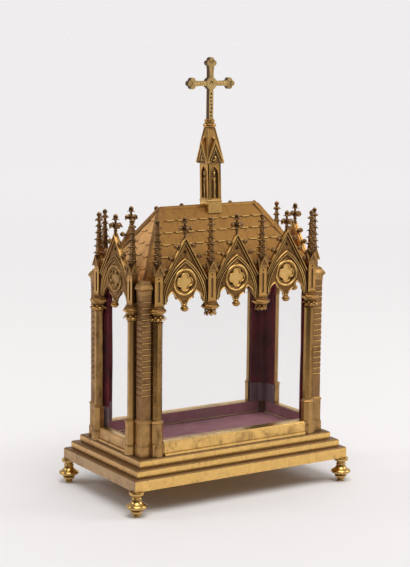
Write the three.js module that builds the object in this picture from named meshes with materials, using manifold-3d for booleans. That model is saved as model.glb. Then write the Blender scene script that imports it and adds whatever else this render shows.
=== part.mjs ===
// Neo-Gothic chapel-form reliquary of gilt brass and glass.
// Millimetres, +Z up, long side along X, front facing -Y, standing on z = 0, centred on x = y = 0.
import * as THREE from 'three';
import { mergeVertices } from 'three/addons/utils/BufferGeometryUtils.js';
import Module from 'manifold-3d';

const wasm = await Module();
wasm.setup();

// Clearances
const SIDE_GAP = 0.3;
const SEAT_GAP = 0.1;

// How far a cutting shape runs past what it cuts, and how far joined forms run into each other
const CUT_PAST = 5;
const JOIN_LAP = 1;

// Feet, from the tip up
const FOOT_INSET = 5.2;
const FOOT_TIP_RADIUS = 5.4;
const FOOT_TIP_NECK_RADIUS = 4.4;
const FOOT_TIP_HEIGHT = 4.2;
const FOOT_KNOP_RADIUS = 8.4;
const FOOT_KNOP_FLARE = 2.6;
const FOOT_KNOP_HEIGHT = 2.6;
const FOOT_BULGE_RADIUS = 15;
const FOOT_BULGE_FLARE = 4;
const FOOT_BULGE_HEIGHT = 2.2;
const FOOT_SHOULDER_RADIUS = 6.8;
const FOOT_SHOULDER_HEIGHT = 5.4;
const FOOT_NECK_RADIUS = 5.8;
const FOOT_NECK_HEIGHT = 7;
const FOOT_DISC_RADIUS = 10.2;
const FOOT_DISC_FLARE = 2.4;
const FOOT_DISC_HEIGHT = 3.9;
const FOOT_SEAT_MARGIN = 0.5;
const FOOT_SEGMENTS = 10;

// Stepped base, how far its foot stands out from the corner buttresses, and its tiers
const BASE_MARGIN_X = 26.9;
const BASE_MARGIN_Y = 30.3;
const TIER_TWO_STEP = 7.7;
const TIER_THREE_STEP = 16.8;
const BASE_SLAB_HEIGHT = 15.8;
const TIER_HEIGHT = 10.5;
const TIER_BEVEL = 1.6;
const TIER_COVE = 1.4;
const TIER_COVE_HEIGHT = 2.4;
const BASE_WALL = 3;

// Sill rails round the glass
const SILL_HEIGHT = 18.8;
const SILL_LONG_PROUD = 7;
const SILL_END_PROUD = 3.9;
const SILL_FILLET = 2.4;
const SILL_FILLET_HEIGHT = 3.6;
const SILL_BEVEL = 1.8;
const SILL_LONG_INSIDE = 5;
const SILL_END_INSIDE = 3.5;

// Corner buttresses
const BUTTRESS_REACH_X = 22.4;
const BUTTRESS_REACH_Y = 24.5;
const BUTTRESS_SIZE = 14.5;
const BUTTRESS_RISE = 30.2;
const BUTTRESS_PLINTH_PROUD = 2;
const BUTTRESS_PEDESTAL_PROUD = 1;
const BUTTRESS_LEDGE_PROUD = 1.7;
const BUTTRESS_LEDGE_SLOPE = 1;
const BUTTRESS_CAP_PROUD = 3;
const BUTTRESS_CAP_INNER_PROUD = 1;
const BUTTRESS_CAP_RIM = 1.8;
const BUTTRESS_CAP_SLOPE = 4.6;
const BUTTRESS_CAP_COVE = 8.5;

// Columns, their places set by the bays between them
const BAY_WIDTH = 83.1;
const END_BAY_HALF = 45.5;
const CORNER_BAY_EASE = 0.65;
const COLUMN_FRONT_PROUD = 1;
const COLUMN_END_PROUD = 0.7;
const COLUMN_BACK_DEPTH = 5.2;
const COLUMN_SIDES = 8;
const PLINTH_RADIUS = 8.6;
const PLINTH_HEIGHT = 12.7;
const PLINTH_SLOPE = 5;
const PEDESTAL_RADIUS = 7;
const PEDESTAL_HEIGHT = 28;
const RING_RADIUS = 8.2;
const RING_HEIGHT = 3;
const RING_UNDER = 0.6;
const RING_EDGE = 0.8;
const RING_OVER = 1.4;
const SHAFT_RADIUS = 5.4;
const SHAFT_HEIGHT = 132.5;
const ASTRAGAL_RADIUS = 6.6;
const ASTRAGAL_HALF = 0.8;
const CAPITAL_HEIGHT = 22.5;
const BELL_RADIUS = 8.8;
const BELL_LIP = 1.6;
const ABACUS_RADIUS = 11.7;
const ABACUS_SEAT_RADIUS = 8.4;
const ABACUS_RIM = 2.3;
const ABACUS_WEATHER = 5.4;
const CORBEL_HEIGHT = 18.5;
const CORBEL_DROP_RADIUS = 2.8;

// Pinnacles
const PINNACLE_HALF_WIDTH = 6;
const PINNACLE_FRONT_DEPTH = 4.2;
const PINNACLE_SHAFT_HEIGHT = 41.5;
const GABLET_HEIGHT = 14.5;
const GABLET_HALF_WIDTH = 8;
const GABLET_FRONT_REACH = 7;
const SPIRE_SINK = 6;
const SPIRE_HALF_FOOT = 4.2;
const SPIRE_HALF_TOP = 1.7;
const SPIRE_GROOVE = 0.6;
const SPIRE_CROCKETS = 5;
const SPIRE_CROCKET_FIRST = 5;
const SPIRE_CROCKET_PITCH = 9.2;
const SPIRE_CROCKET_UNDER = 2.6;
const SPIRE_CROCKET_PROUD = 1.9;
const SPIRE_CROCKET_TAPER = 0.8;
const PINNACLE_NECK_HALF = 1.4;
const PINNACLE_NECK_HEIGHT = 4.2;
const PINNACLE_ARM_RADIUS = 4.6;
const PINNACLE_ARM_UNDER = 3;
const PINNACLE_ARM_OVER = 2;
const PINNACLE_BUD_RADIUS = 2.7;
const PINNACLE_BUD_UNDER = 3.6;
const PINNACLE_BUD_OVER = 4.4;

// Gables
const GABLE_WALL_HEIGHT = 31.7;
const GABLE_RISE = 59;
const GABLE_PLATE_BACK = 3.4;
const GABLE_PLATE_FRONT = 0.5;
const COPING_FRONT = 3.5;
const COPING_WIDTH = 5.6;
const ARCH_SPRING = 1.3;
const ARCH_RISE = 61.9;
const ARCH_WIDTH = 5;
const ARCH_FRONT = 2.2;
const ARCH_SEGMENTS = 3;
const ROUNDEL_RISE = 29.3;
const ROUNDEL_RADIUS = 18.6;
const ROUNDEL_RING = 3.2;
const ROUNDEL_FRONT = 2.8;
const ROUNDEL_SEGMENTS = 10;
const QUATREFOIL_OFFSET = 5.6;
const QUATREFOIL_RADIUS = 5.3;
const QUATREFOIL_FRONT = 1.8;
const QUATREFOIL_SEGMENTS = 5;
const PENDANT_DROP = 10.7;
const PENDANT_RADIUS = 5.6;
const PENDANT_WAIST_RADIUS = 4.6;
const PENDANT_NECK_RADIUS = 2.4;
const PENDANT_SWELL = 3.8;
const PENDANT_WAIST = 2.8;
const PENDANT_NECK = 2.9;
const PENDANT_ROOT = 2;
const PENDANT_SIDES = 5;
const GABLE_FINIAL_ARM_RISE = 11;
const GABLE_FINIAL_TIP_RISE = 15;
const GABLE_FINIAL_REACH = 8.6;
const GABLE_BUD_RADIUS = 4;
const GABLE_CROCKET_FIRST = 15;
const GABLE_CROCKET_PITCH = 17.6;
const GABLE_CROCKETS = 3;
const GABLE_CROCKET_HALF = 4.4;
const GABLE_CROCKET_PROUD = 6.6;
const CROCKET_LEAN = 1.4;
const FINIAL_STEM_HALF = 2.1;
const FINIAL_ARM_HALF = 3.4;
const FINIAL_BUD_HEIGHT = 6.4;

// Cusped lower edge of a gable: distance from its middle line or its end, and height over its foot
const NECK_HALF = 3.2;
const NECK_DROP = 2.8;
const THROAT_HALF = 4.6;
const THROAT_RISE = 0.7;
const INNER_CUSP_START = 10.6;
const INNER_CUSP_START_RISE = 7.9;
const INNER_CUSP_TIP = 13.2;
const INNER_CUSP_TIP_RISE = 8.7;
const FOIL_MIDDLE = 17.6;
const FOIL_RISE = 16.7;
const FOIL_END = 24;
const FOIL_END_RISE = 12.9;
const OUTER_CUSP_INSET = 5.2;
const OUTER_CUSP_RISE = 6.1;
const GABLE_EAR = 3.4;

// Glass
const GLASS_THICKNESS = 2;
const GLASS_RISE = 28.5;

// Lining boards covered in velvet
const FLOOR_THICKNESS = 2;
const FLOOR_PLAY = 0.4;
const LINING_THICKNESS = 1.8;
const LINING_LONG_RUN = 13.9;
const LINING_SHORT_RUN = 21.2;
const LINING_SET_DOWN = 3.5;

// Roof
const ROOF_HEIGHT = 92.8;
const ROOF_END_SETBACK = 3.78;
const ROOF_SIDE_SETBACK = 0.7;
const RIDGE_HALF_LENGTH = 77.8;
const RIDGE_HALF_WIDTH = 2.6;
const RIDGE_OVERHANG = 1.4;
const RIDGE_CAP_SINK = 3;
const TILE_ROWS = 6;
const TILE_PROUD = 1.3;
const TILE_LAP = 0.4;
const ROOF_WALL = 2.6;

// Turret
const TURRET_HALF_X = 10.6;
const TURRET_HALF_Y = 10.6;
const TURRET_LEAN = 3.8;
const TURRET_SADDLE = 13.2;
const TURRET_BODY_HEIGHT = 74;
const TURRET_GABLE_HALF = 14.6;
const TURRET_GABLE_SINK = 3;
const TURRET_GABLE_HEIGHT = 32;
const TURRET_NICHE_SILL = 22;
const TURRET_NICHE_HEIGHT = 33;
const TURRET_NICHE_RISE = 11;
const TURRET_NICHE_HALF = 6;
const TURRET_NICHE_SEGMENTS = 2;
const TURRET_NICHE_DEPTH = 2;
const TURRET_PANEL_DEPTH = 1.6;
const TURRET_RAKE_WIDTH = 5;
const TURRET_RAKE_DROP = 12;
const TURRET_SPIRE_START = 6;
const TURRET_SPIRE_LOWER = 17;
const TURRET_SPIRE_UPPER = 22.5;
const TURRET_SPIRE_HALF = 10;
const TURRET_SPIRE_MID_HALF = 8.4;
const TURRET_SPIRE_TOP_HALF = 5;
const COLLAR_HEIGHT = 11;
const COLLAR_RADIUS = 9.1;
const COLLAR_ROUND = 1.6;
const COLLAR_UPPER_RADIUS = 7.3;
const COLLAR_NECK_RADIUS = 6;

// Cross
const CROSS_HEIGHT = 84.4;
const CROSS_ARM_DROP = 35.7;
const CROSS_ARM_REACH = 38;
const CROSS_BAR_HALF = 3.4;
const CROSS_FLARE = 1.4;
const CROSS_FLARE_LENGTH = 11;
const CROSS_STEM_END = 5;
const CROSS_BAR_END = 3;
const CROSS_DEPTH = 7.4;
const CROSS_BOSS_HALF = 7.4;
const CROSS_BOSS_DEPTH = 8.6;
const CROSS_LOBE_RADIUS = 4;
const CROSS_LOBE_SEGMENTS = 6;

// Values that follow from the sizes above
const FOOT_TIP_AND_KNOP = FOOT_TIP_HEIGHT + FOOT_KNOP_FLARE + FOOT_KNOP_HEIGHT;
const FOOT_BULGE = FOOT_BULGE_FLARE + FOOT_BULGE_HEIGHT + FOOT_SHOULDER_HEIGHT;
const FOOT_NECK_AND_DISC = FOOT_NECK_HEIGHT + FOOT_DISC_FLARE + FOOT_DISC_HEIGHT;
const FOOT_HEIGHT = FOOT_TIP_AND_KNOP + FOOT_BULGE + FOOT_NECK_AND_DISC + SEAT_GAP;
const COLUMN_FRONT_X = 1.5 * BAY_WIDTH + CORNER_BAY_EASE;
const COLUMN_SIDE_Y = END_BAY_HALF;
const BUTTRESS_CORNER_X = COLUMN_FRONT_X + BUTTRESS_REACH_X;
const BUTTRESS_CORNER_Y = COLUMN_SIDE_Y + BUTTRESS_REACH_Y;
const COLUMN_FRONT_Y = BUTTRESS_CORNER_Y + COLUMN_FRONT_PROUD;
const COLUMN_SIDE_X = BUTTRESS_CORNER_X + COLUMN_END_PROUD;
const BASE_HALF_X = BUTTRESS_CORNER_X + BASE_MARGIN_X;
const BASE_HALF_Y = BUTTRESS_CORNER_Y + BASE_MARGIN_Y;
const BASE_TOP = FOOT_HEIGHT + BASE_SLAB_HEIGHT + 2 * TIER_HEIGHT;
const TIER_TWO_X = BASE_HALF_X - TIER_TWO_STEP;
const TIER_TWO_Y = BASE_HALF_Y - TIER_TWO_STEP;
const TIER_THREE_X = BASE_HALF_X - TIER_THREE_STEP;
const TIER_THREE_Y = BASE_HALF_Y - TIER_THREE_STEP;
const ON_BASE = BASE_TOP + SEAT_GAP;
const SILL_TOP = ON_BASE + SILL_HEIGHT;
const BUTTRESS_INNER_X = BUTTRESS_CORNER_X - BUTTRESS_SIZE;
const BUTTRESS_INNER_Y = BUTTRESS_CORNER_Y - BUTTRESS_SIZE;
const GLASS_LONG_OUTER = COLUMN_FRONT_Y - COLUMN_BACK_DEPTH - SIDE_GAP;
const GLASS_SHORT_OUTER = COLUMN_SIDE_X - COLUMN_BACK_DEPTH - SIDE_GAP;
const SILL_LONG_OUTER = COLUMN_FRONT_Y + SILL_LONG_PROUD;
const SILL_SHORT_OUTER = COLUMN_SIDE_X + SILL_END_PROUD;
const SILL_LONG_INNER = GLASS_LONG_OUTER - SILL_LONG_INSIDE;
const SILL_SHORT_INNER = GLASS_SHORT_OUTER - SILL_END_INSIDE;
const PLINTH_TOP = ON_BASE + PLINTH_HEIGHT;
const PEDESTAL_FOOT = PLINTH_TOP + PLINTH_SLOPE;
const PEDESTAL_TOP = PEDESTAL_FOOT + PEDESTAL_HEIGHT;
const RING_TOP = PEDESTAL_TOP + RING_HEIGHT;
const CAPITAL_FOOT = RING_TOP + SHAFT_HEIGHT;
const CAPITAL_TOP = CAPITAL_FOOT + CAPITAL_HEIGHT;
const CORBEL_TIP = CAPITAL_TOP - CORBEL_HEIGHT;
const BUTTRESS_TOP = CAPITAL_TOP + BUTTRESS_RISE;
const GABLET_FOOT = CAPITAL_TOP + PINNACLE_SHAFT_HEIGHT;
const GABLET_APEX = GABLET_FOOT + GABLET_HEIGHT;
const GABLE_FOOT = CAPITAL_TOP + SIDE_GAP;
const GABLE_SHOULDER = GABLE_FOOT + GABLE_WALL_HEIGHT;
const GABLE_APEX = GABLE_SHOULDER + GABLE_RISE;
const ARCH_FOOT = GABLE_FOOT + ARCH_SPRING;
const ARCH_APEX = ARCH_FOOT + ARCH_RISE;
const ROUNDEL_HEIGHT = GABLE_FOOT + ROUNDEL_RISE;
const GABLE_FINIAL_ARM = GABLE_APEX + GABLE_FINIAL_ARM_RISE;
const GABLE_FINIAL_TOP = GABLE_FINIAL_ARM + GABLE_FINIAL_TIP_RISE;
const GLASS_TOP = CAPITAL_TOP + GLASS_RISE;
const LINING_TOP = GLASS_TOP - LINING_SET_DOWN;
const ROOF_FOOT = BUTTRESS_TOP + 2 * SEAT_GAP;
const RIDGE_TOP = ROOF_FOOT + ROOF_HEIGHT;
const ROOF_HALF_X = COLUMN_SIDE_X - COLUMN_BACK_DEPTH - TILE_PROUD - ROOF_END_SETBACK;
const ROOF_HALF_Y = COLUMN_FRONT_Y - COLUMN_BACK_DEPTH - TILE_PROUD - ROOF_SIDE_SETBACK;
const HIP_SLOPE_X = (ROOF_HALF_X - RIDGE_HALF_LENGTH) / ROOF_HEIGHT;
const HIP_SLOPE_Y = ROOF_HALF_Y / ROOF_HEIGHT;
const TURRET_FOOT = RIDGE_TOP - TURRET_SADDLE;
const TURRET_EAVES = TURRET_FOOT + TURRET_BODY_HEIGHT;
const TURRET_GABLE_FOOT = TURRET_EAVES - TURRET_GABLE_SINK;
const TURRET_NICHE_FOOT = TURRET_FOOT + TURRET_NICHE_SILL;
const TURRET_NICHE_SPRING = TURRET_NICHE_FOOT + TURRET_NICHE_HEIGHT;
const TURRET_SPIRE_FOOT = TURRET_EAVES + TURRET_SPIRE_START;
const COLLAR_FOOT = TURRET_SPIRE_FOOT + TURRET_SPIRE_LOWER + TURRET_SPIRE_UPPER;
const COLLAR_TOP = COLLAR_FOOT + COLLAR_HEIGHT;
const CROSS_FOOT = COLLAR_TOP + SEAT_GAP;
const CROSS_TOP = CROSS_FOOT + CROSS_HEIGHT;
const CROSS_ARM_HEIGHT = CROSS_TOP - CROSS_ARM_DROP;
const SHAFT_TURN = Math.PI / COLUMN_SIDES;
const QUARTER = Math.PI / 2;

// Materials
const brass = () => new THREE.MeshStandardMaterial({ color: 0xc9973f, roughness: 0.32, metalness: 1 });
const agedBrass = () => new THREE.MeshStandardMaterial({ color: 0xa67832, roughness: 0.42, metalness: 1 });
const clearGlass = () => new THREE.MeshStandardMaterial(
  { color: 0xf2f6f5, roughness: 0.04, metalness: 0, transparent: true, opacity: 0.15 });
const velvet = (color) => new THREE.MeshStandardMaterial({ color, roughness: 0.95, metalness: 0 });
const crimsonVelvet = () => velvet(0x5a1420);
const fadedVelvet = () => velvet(0x9b6f7d);

// Turns a closed geometry into a solid that can be joined and cut
function solid(geometry) {
  const plain = geometry.clone();
  plain.deleteAttribute('normal');
  plain.deleteAttribute('uv');
  const merged = mergeVertices(plain, 1e-4);
  const points = merged.getAttribute('position').array;
  const corners = [];
  const index = merged.getIndex().array;
  let volume = 0;
  const a = new THREE.Vector3();
  const b = new THREE.Vector3();
  const c = new THREE.Vector3();
  for (let i = 0; i < index.length; i += 3) {
    const [p, q, r] = [index[i], index[i + 1], index[i + 2]];
    if (p === q || q === r || r === p) continue;
    corners.push(p, q, r);
    a.fromArray(points, 3 * p);
    b.fromArray(points, 3 * q);
    c.fromArray(points, 3 * r);
    volume += a.dot(b.cross(c));
  }
  if (volume < 0) corners.reverse();
  return new wasm.Manifold(new wasm.Mesh({
    numProp: 3,
    vertProperties: new Float32Array(points),
    triVerts: new Uint32Array(corners),
  }));
}

function geometryOf(shape) {
  const mesh = shape.getMesh();
  const geometry = new THREE.BufferGeometry();
  geometry.setAttribute('position', new THREE.BufferAttribute(new Float32Array(mesh.vertProperties), 3));
  geometry.setIndex(Array.from(mesh.triVerts));
  geometry.computeVertexNormals();
  return geometry;
}

const join = (first, ...others) => others.reduce((sum, next) => sum.add(next), first);
const cut = (first, ...others) => others.reduce((rest, next) => rest.subtract(next), first);

// A block whose top rectangle may differ from its foot; a rectangle is [x0, x1, y0, y1]
function block(foot, z0, z1, top = foot) {
  const geometry = new THREE.BoxGeometry(1, 1, 1);
  const position = geometry.getAttribute('position');
  for (let i = 0; i < position.count; i += 1) {
    const face = position.getZ(i) > 0 ? top : foot;
    const x = position.getX(i) > 0 ? face[1] : face[0];
    const y = position.getY(i) > 0 ? face[3] : face[2];
    position.setXYZ(i, x, y, position.getZ(i) > 0 ? z1 : z0);
  }
  return solid(geometry);
}

const around = (halfX, halfY) => [-halfX, halfX, -halfY, halfY];

// A turned or faceted piece from its [radius, height] profile
function turned(profile, sides, turn = 0) {
  const reach = sides === COLUMN_SIDES || sides === 4 ? 1 / Math.cos(Math.PI / sides) : 1;
  const points = profile.map(([radius, z]) => new THREE.Vector2(radius * reach, z));
  const geometry = new THREE.LatheGeometry(points, sides);
  geometry.rotateX(QUARTER);
  geometry.rotateZ(turn);
  return solid(geometry);
}

// A flat piece drawn in x and z, its back at yBack and its front at yFront
function plate(outline, yBack, yFront) {
  const shape = new THREE.Shape(outline.map(([x, z]) => new THREE.Vector2(x, z)));
  const geometry = new THREE.ExtrudeGeometry(shape, { depth: yBack - yFront, bevelEnabled: false });
  geometry.rotateX(QUARTER);
  geometry.translate(0, yBack, 0);
  return solid(geometry);
}

function arc(cx, cz, radius, from, to, steps) {
  const points = [];
  for (let i = 0; i <= steps; i += 1) {
    const angle = from + ((to - from) * i) / steps;
    points.push([cx + radius * Math.cos(angle), cz + radius * Math.sin(angle)]);
  }
  return points;
}

const disc = (x, z, radius, steps, turn = 0) => (
  arc(x, z, radius, turn, turn + 2 * Math.PI, steps).slice(0, -1));
const mirrored = (points) => points.map(([x, z]) => [-x, z]).reverse();

// The right half of a pointed arch, from its foot up to the apex
function pointedArch(halfSpan, foot, apex, steps) {
  const rise = apex - foot;
  const shift = (rise * rise - halfSpan * halfSpan) / (2 * halfSpan);
  const radius = halfSpan + shift;
  return arc(-shift, foot, radius, 0, Math.acos(shift / radius), steps);
}

// Turns steps of [radius, rise] into a profile of [radius, height], closed on the axis
function risen(foot, steps) {
  let z = foot;
  const profile = steps.map(([radius, rise]) => {
    z += rise;
    return [radius, z];
  });
  return [[0, foot], ...profile, [0, z]];
}

// Foot turned like a baluster
function footShape() {
  return turned(risen(0, [
    [FOOT_TIP_RADIUS, 0], [FOOT_TIP_NECK_RADIUS, FOOT_TIP_HEIGHT],
    [FOOT_KNOP_RADIUS, FOOT_KNOP_FLARE], [FOOT_KNOP_RADIUS, FOOT_KNOP_HEIGHT],
    [FOOT_BULGE_RADIUS, FOOT_BULGE_FLARE], [FOOT_BULGE_RADIUS, FOOT_BULGE_HEIGHT],
    [FOOT_SHOULDER_RADIUS, FOOT_SHOULDER_HEIGHT], [FOOT_NECK_RADIUS, FOOT_NECK_HEIGHT],
    [FOOT_DISC_RADIUS, FOOT_DISC_FLARE], [FOOT_DISC_RADIUS, FOOT_DISC_HEIGHT],
  ]), FOOT_SEGMENTS);
}

// Base: three hollow tiers open underneath, each with a bevelled edge and a cove under the next
function baseShape() {
  const tiers = [
    [BASE_HALF_X, BASE_HALF_Y, FOOT_HEIGHT, BASE_SLAB_HEIGHT],
    [TIER_TWO_X, TIER_TWO_Y, FOOT_HEIGHT + BASE_SLAB_HEIGHT, TIER_HEIGHT],
    [TIER_THREE_X, TIER_THREE_Y, FOOT_HEIGHT + BASE_SLAB_HEIGHT + TIER_HEIGHT, TIER_HEIGHT],
  ];
  let outside = null;
  let inside = null;
  tiers.forEach(([x, y, z, height], i) => {
    const cove = i > 0 ? TIER_COVE : 0;
    const start = z - (i > 0 ? TIER_BEVEL : 0);
    const rise = i > 0 ? z + TIER_COVE_HEIGHT : z;
    const full = around(x, y);
    const top = around(x - TIER_BEVEL, y - TIER_BEVEL);
    const edge = z + height - TIER_BEVEL;
    let tier = join(block(full, rise, edge), block(full, edge, z + height, top));
    if (i > 0) tier = join(tier, block(around(x - cove, y - cove), start, rise));
    outside = outside ? join(outside, tier) : tier;
    const roof = z + height - BASE_WALL;
    const hollow = block(around(x - BASE_WALL, y - BASE_WALL), i > 0 ? z - BASE_WALL : z - CUT_PAST, roof);
    inside = inside ? join(inside, hollow) : hollow;
  });
  const seats = [];
  for (const sx of [-1, 1]) {
    for (const sy of [-1, 1]) {
      const near = 2 * FOOT_DISC_RADIUS + FOOT_INSET;
      const far = FOOT_SEAT_MARGIN;
      const x = [sx * (BASE_HALF_X - near), sx * (BASE_HALF_X - far)].sort((p, q) => p - q);
      const y = [sy * (BASE_HALF_Y - near), sy * (BASE_HALF_Y - far)].sort((p, q) => p - q);
      seats.push(block([...x, ...y], FOOT_HEIGHT, FOOT_HEIGHT + BASE_WALL));
    }
  }
  return join(cut(outside, inside), ...seats);
}

// Buttress at one corner, its outer faces towards sx and sy
function buttressRect(sx, sy, outer, inner = 0) {
  const x = [sx * (BUTTRESS_INNER_X - inner), sx * (BUTTRESS_CORNER_X + outer)].sort((p, q) => p - q);
  const y = [sy * (BUTTRESS_INNER_Y - inner), sy * (BUTTRESS_CORNER_Y + outer)].sort((p, q) => p - q);
  return [...x, ...y];
}

function buttressShape(sx, sy) {
  const rect = (outer, inner) => buttressRect(sx, sy, outer, inner);
  const ledge = BUTTRESS_LEDGE_SLOPE;
  const rim = BUTTRESS_TOP - BUTTRESS_CAP_SLOPE;
  const coveTop = rim - BUTTRESS_CAP_RIM;
  const cap = rect(BUTTRESS_CAP_PROUD, BUTTRESS_CAP_INNER_PROUD);
  return join(
    block(rect(BUTTRESS_PLINTH_PROUD), ON_BASE, PLINTH_TOP),
    block(rect(BUTTRESS_PLINTH_PROUD), PLINTH_TOP, PEDESTAL_FOOT, rect(BUTTRESS_PEDESTAL_PROUD)),
    block(rect(BUTTRESS_PEDESTAL_PROUD), PEDESTAL_FOOT, PEDESTAL_TOP),
    block(rect(BUTTRESS_LEDGE_PROUD), PEDESTAL_TOP, RING_TOP - ledge),
    block(rect(BUTTRESS_LEDGE_PROUD), RING_TOP - ledge, RING_TOP + ledge, rect(0)),
    block(rect(0), RING_TOP + ledge, coveTop - BUTTRESS_CAP_COVE),
    block(rect(0), coveTop - BUTTRESS_CAP_COVE, coveTop, cap),
    block(cap, coveTop, rim),
    block(cap, rim, BUTTRESS_TOP, rect(0)),
  );
}

// Column or corbel head: faceted profile cut flat behind
const PAST_ABACUS = 2 * ABACUS_RADIUS;
const behind = (z0, z1) => block([-PAST_ABACUS, PAST_ABACUS, COLUMN_BACK_DEPTH, PAST_ABACUS], z0, z1);

const capitalProfile = [
  [BELL_RADIUS, CAPITAL_TOP - ABACUS_WEATHER - ABACUS_RIM - BELL_LIP],
  [ABACUS_RADIUS, CAPITAL_TOP - ABACUS_WEATHER - ABACUS_RIM],
  [ABACUS_RADIUS, CAPITAL_TOP - ABACUS_WEATHER],
  [ABACUS_SEAT_RADIUS, CAPITAL_TOP],
  [0, CAPITAL_TOP],
];

// The buttress stands at x beyond clearX on the side given by hand, and behind y = clearY
function columnShape(hand, clearX, clearY) {
  const whole = turned([
    [0, ON_BASE], [PLINTH_RADIUS, ON_BASE], [PLINTH_RADIUS, PLINTH_TOP], [PEDESTAL_RADIUS, PEDESTAL_FOOT],
    [PEDESTAL_RADIUS, PEDESTAL_TOP - RING_UNDER], [RING_RADIUS, PEDESTAL_TOP + RING_EDGE],
    [SHAFT_RADIUS, RING_TOP + RING_OVER], [SHAFT_RADIUS, CAPITAL_FOOT - ASTRAGAL_HALF],
    [ASTRAGAL_RADIUS, CAPITAL_FOOT + ASTRAGAL_HALF], ...capitalProfile,
  ], COLUMN_SIDES, SHAFT_TURN);
  const near = hand * (clearX - SIDE_GAP - BUTTRESS_CAP_INNER_PROUD);
  const x = [near, hand * PAST_ABACUS].sort((p, q) => p - q);
  const proud = BUTTRESS_PLINTH_PROUD + SIDE_GAP;
  const foot = ON_BASE - CUT_PAST;
  const top = CAPITAL_TOP + CUT_PAST;
  const lower = block([...x, clearY - proud, PAST_ABACUS], foot, RING_TOP + RING_HEIGHT + JOIN_LAP);
  const upper = block([...x, clearY - SIDE_GAP, PAST_ABACUS], RING_TOP + RING_HEIGHT, top);
  return cut(whole, behind(foot, top), lower, upper);
}

function corbelShape() {
  const drop = turned([
    [0, CORBEL_TIP], [CORBEL_DROP_RADIUS, CORBEL_TIP + CORBEL_DROP_RADIUS],
    ...capitalProfile,
  ], COLUMN_SIDES, SHAFT_TURN);
  return cut(drop, behind(CORBEL_TIP - CUT_PAST, CAPITAL_TOP + CUT_PAST));
}

// Pinnacle: panelled shaft, crossed gablets, crocketed spire and bud
function pinnacleShape(withCorbel) {
  const foot = CAPITAL_TOP + (withCorbel ? 0 : SEAT_GAP);
  const back = COLUMN_BACK_DEPTH - SIDE_GAP;
  const half = PINNACLE_HALF_WIDTH;
  const shaft = block([-half, half, -PINNACLE_FRONT_DEPTH, back], foot, GABLET_FOOT + JOIN_LAP);
  const wide = GABLET_HALF_WIDTH;
  const triangle = [[-wide, GABLET_FOOT], [wide, GABLET_FOOT], [0, GABLET_APEX]];
  const forward = plate(triangle, back, -GABLET_FRONT_REACH);
  const across = plate([[-GABLET_FRONT_REACH, GABLET_FOOT], [back, GABLET_FOOT],
    [(back - GABLET_FRONT_REACH) / 2, GABLET_APEX]], wide, -wide).rotate([0, 0, 90]);
  const steps = [[SPIRE_HALF_FOOT, 0]];
  for (let i = 0; i < SPIRE_CROCKETS; i += 1) {
    const share = i / SPIRE_CROCKETS;
    const stem = SPIRE_HALF_FOOT + (SPIRE_HALF_TOP - SPIRE_HALF_FOOT) * share;
    const step = i > 0 ? SPIRE_CROCKET_PITCH : SPIRE_SINK + SPIRE_CROCKET_FIRST;
    steps.push([stem - SPIRE_GROOVE, step - SPIRE_CROCKET_UNDER],
      [stem + SPIRE_CROCKET_PROUD - SPIRE_CROCKET_TAPER * share, SPIRE_CROCKET_UNDER]);
  }
  steps.push(
    [PINNACLE_NECK_HALF, PINNACLE_NECK_HEIGHT], [PINNACLE_ARM_RADIUS, PINNACLE_ARM_UNDER],
    [PINNACLE_NECK_HALF, PINNACLE_ARM_OVER], [PINNACLE_BUD_RADIUS, PINNACLE_BUD_UNDER],
    [0, PINNACLE_BUD_OVER],
  );
  const spire = turned(risen(GABLET_APEX - SPIRE_SINK, steps).slice(0, -1), 4, Math.PI / 4);
  const whole = join(shaft, forward, across, spire);
  return withCorbel ? join(whole, corbelShape()) : whole;
}

// Gable plate with cusped lower edge, copings, arch, roundel, crockets and finial
function lowerEdge(half) {
  const right = [
    [NECK_HALF, -NECK_DROP], [THROAT_HALF, THROAT_RISE], [INNER_CUSP_START, INNER_CUSP_START_RISE],
    [INNER_CUSP_TIP, INNER_CUSP_TIP_RISE], [FOIL_MIDDLE, FOIL_RISE], [FOIL_END, FOIL_END_RISE],
    [half - OUTER_CUSP_INSET, OUTER_CUSP_RISE], [half - GABLE_EAR, 0], [half, 0],
  ].map(([x, rise]) => [x, GABLE_FOOT + rise]);
  return [...mirrored(right), ...right];
}

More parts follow.
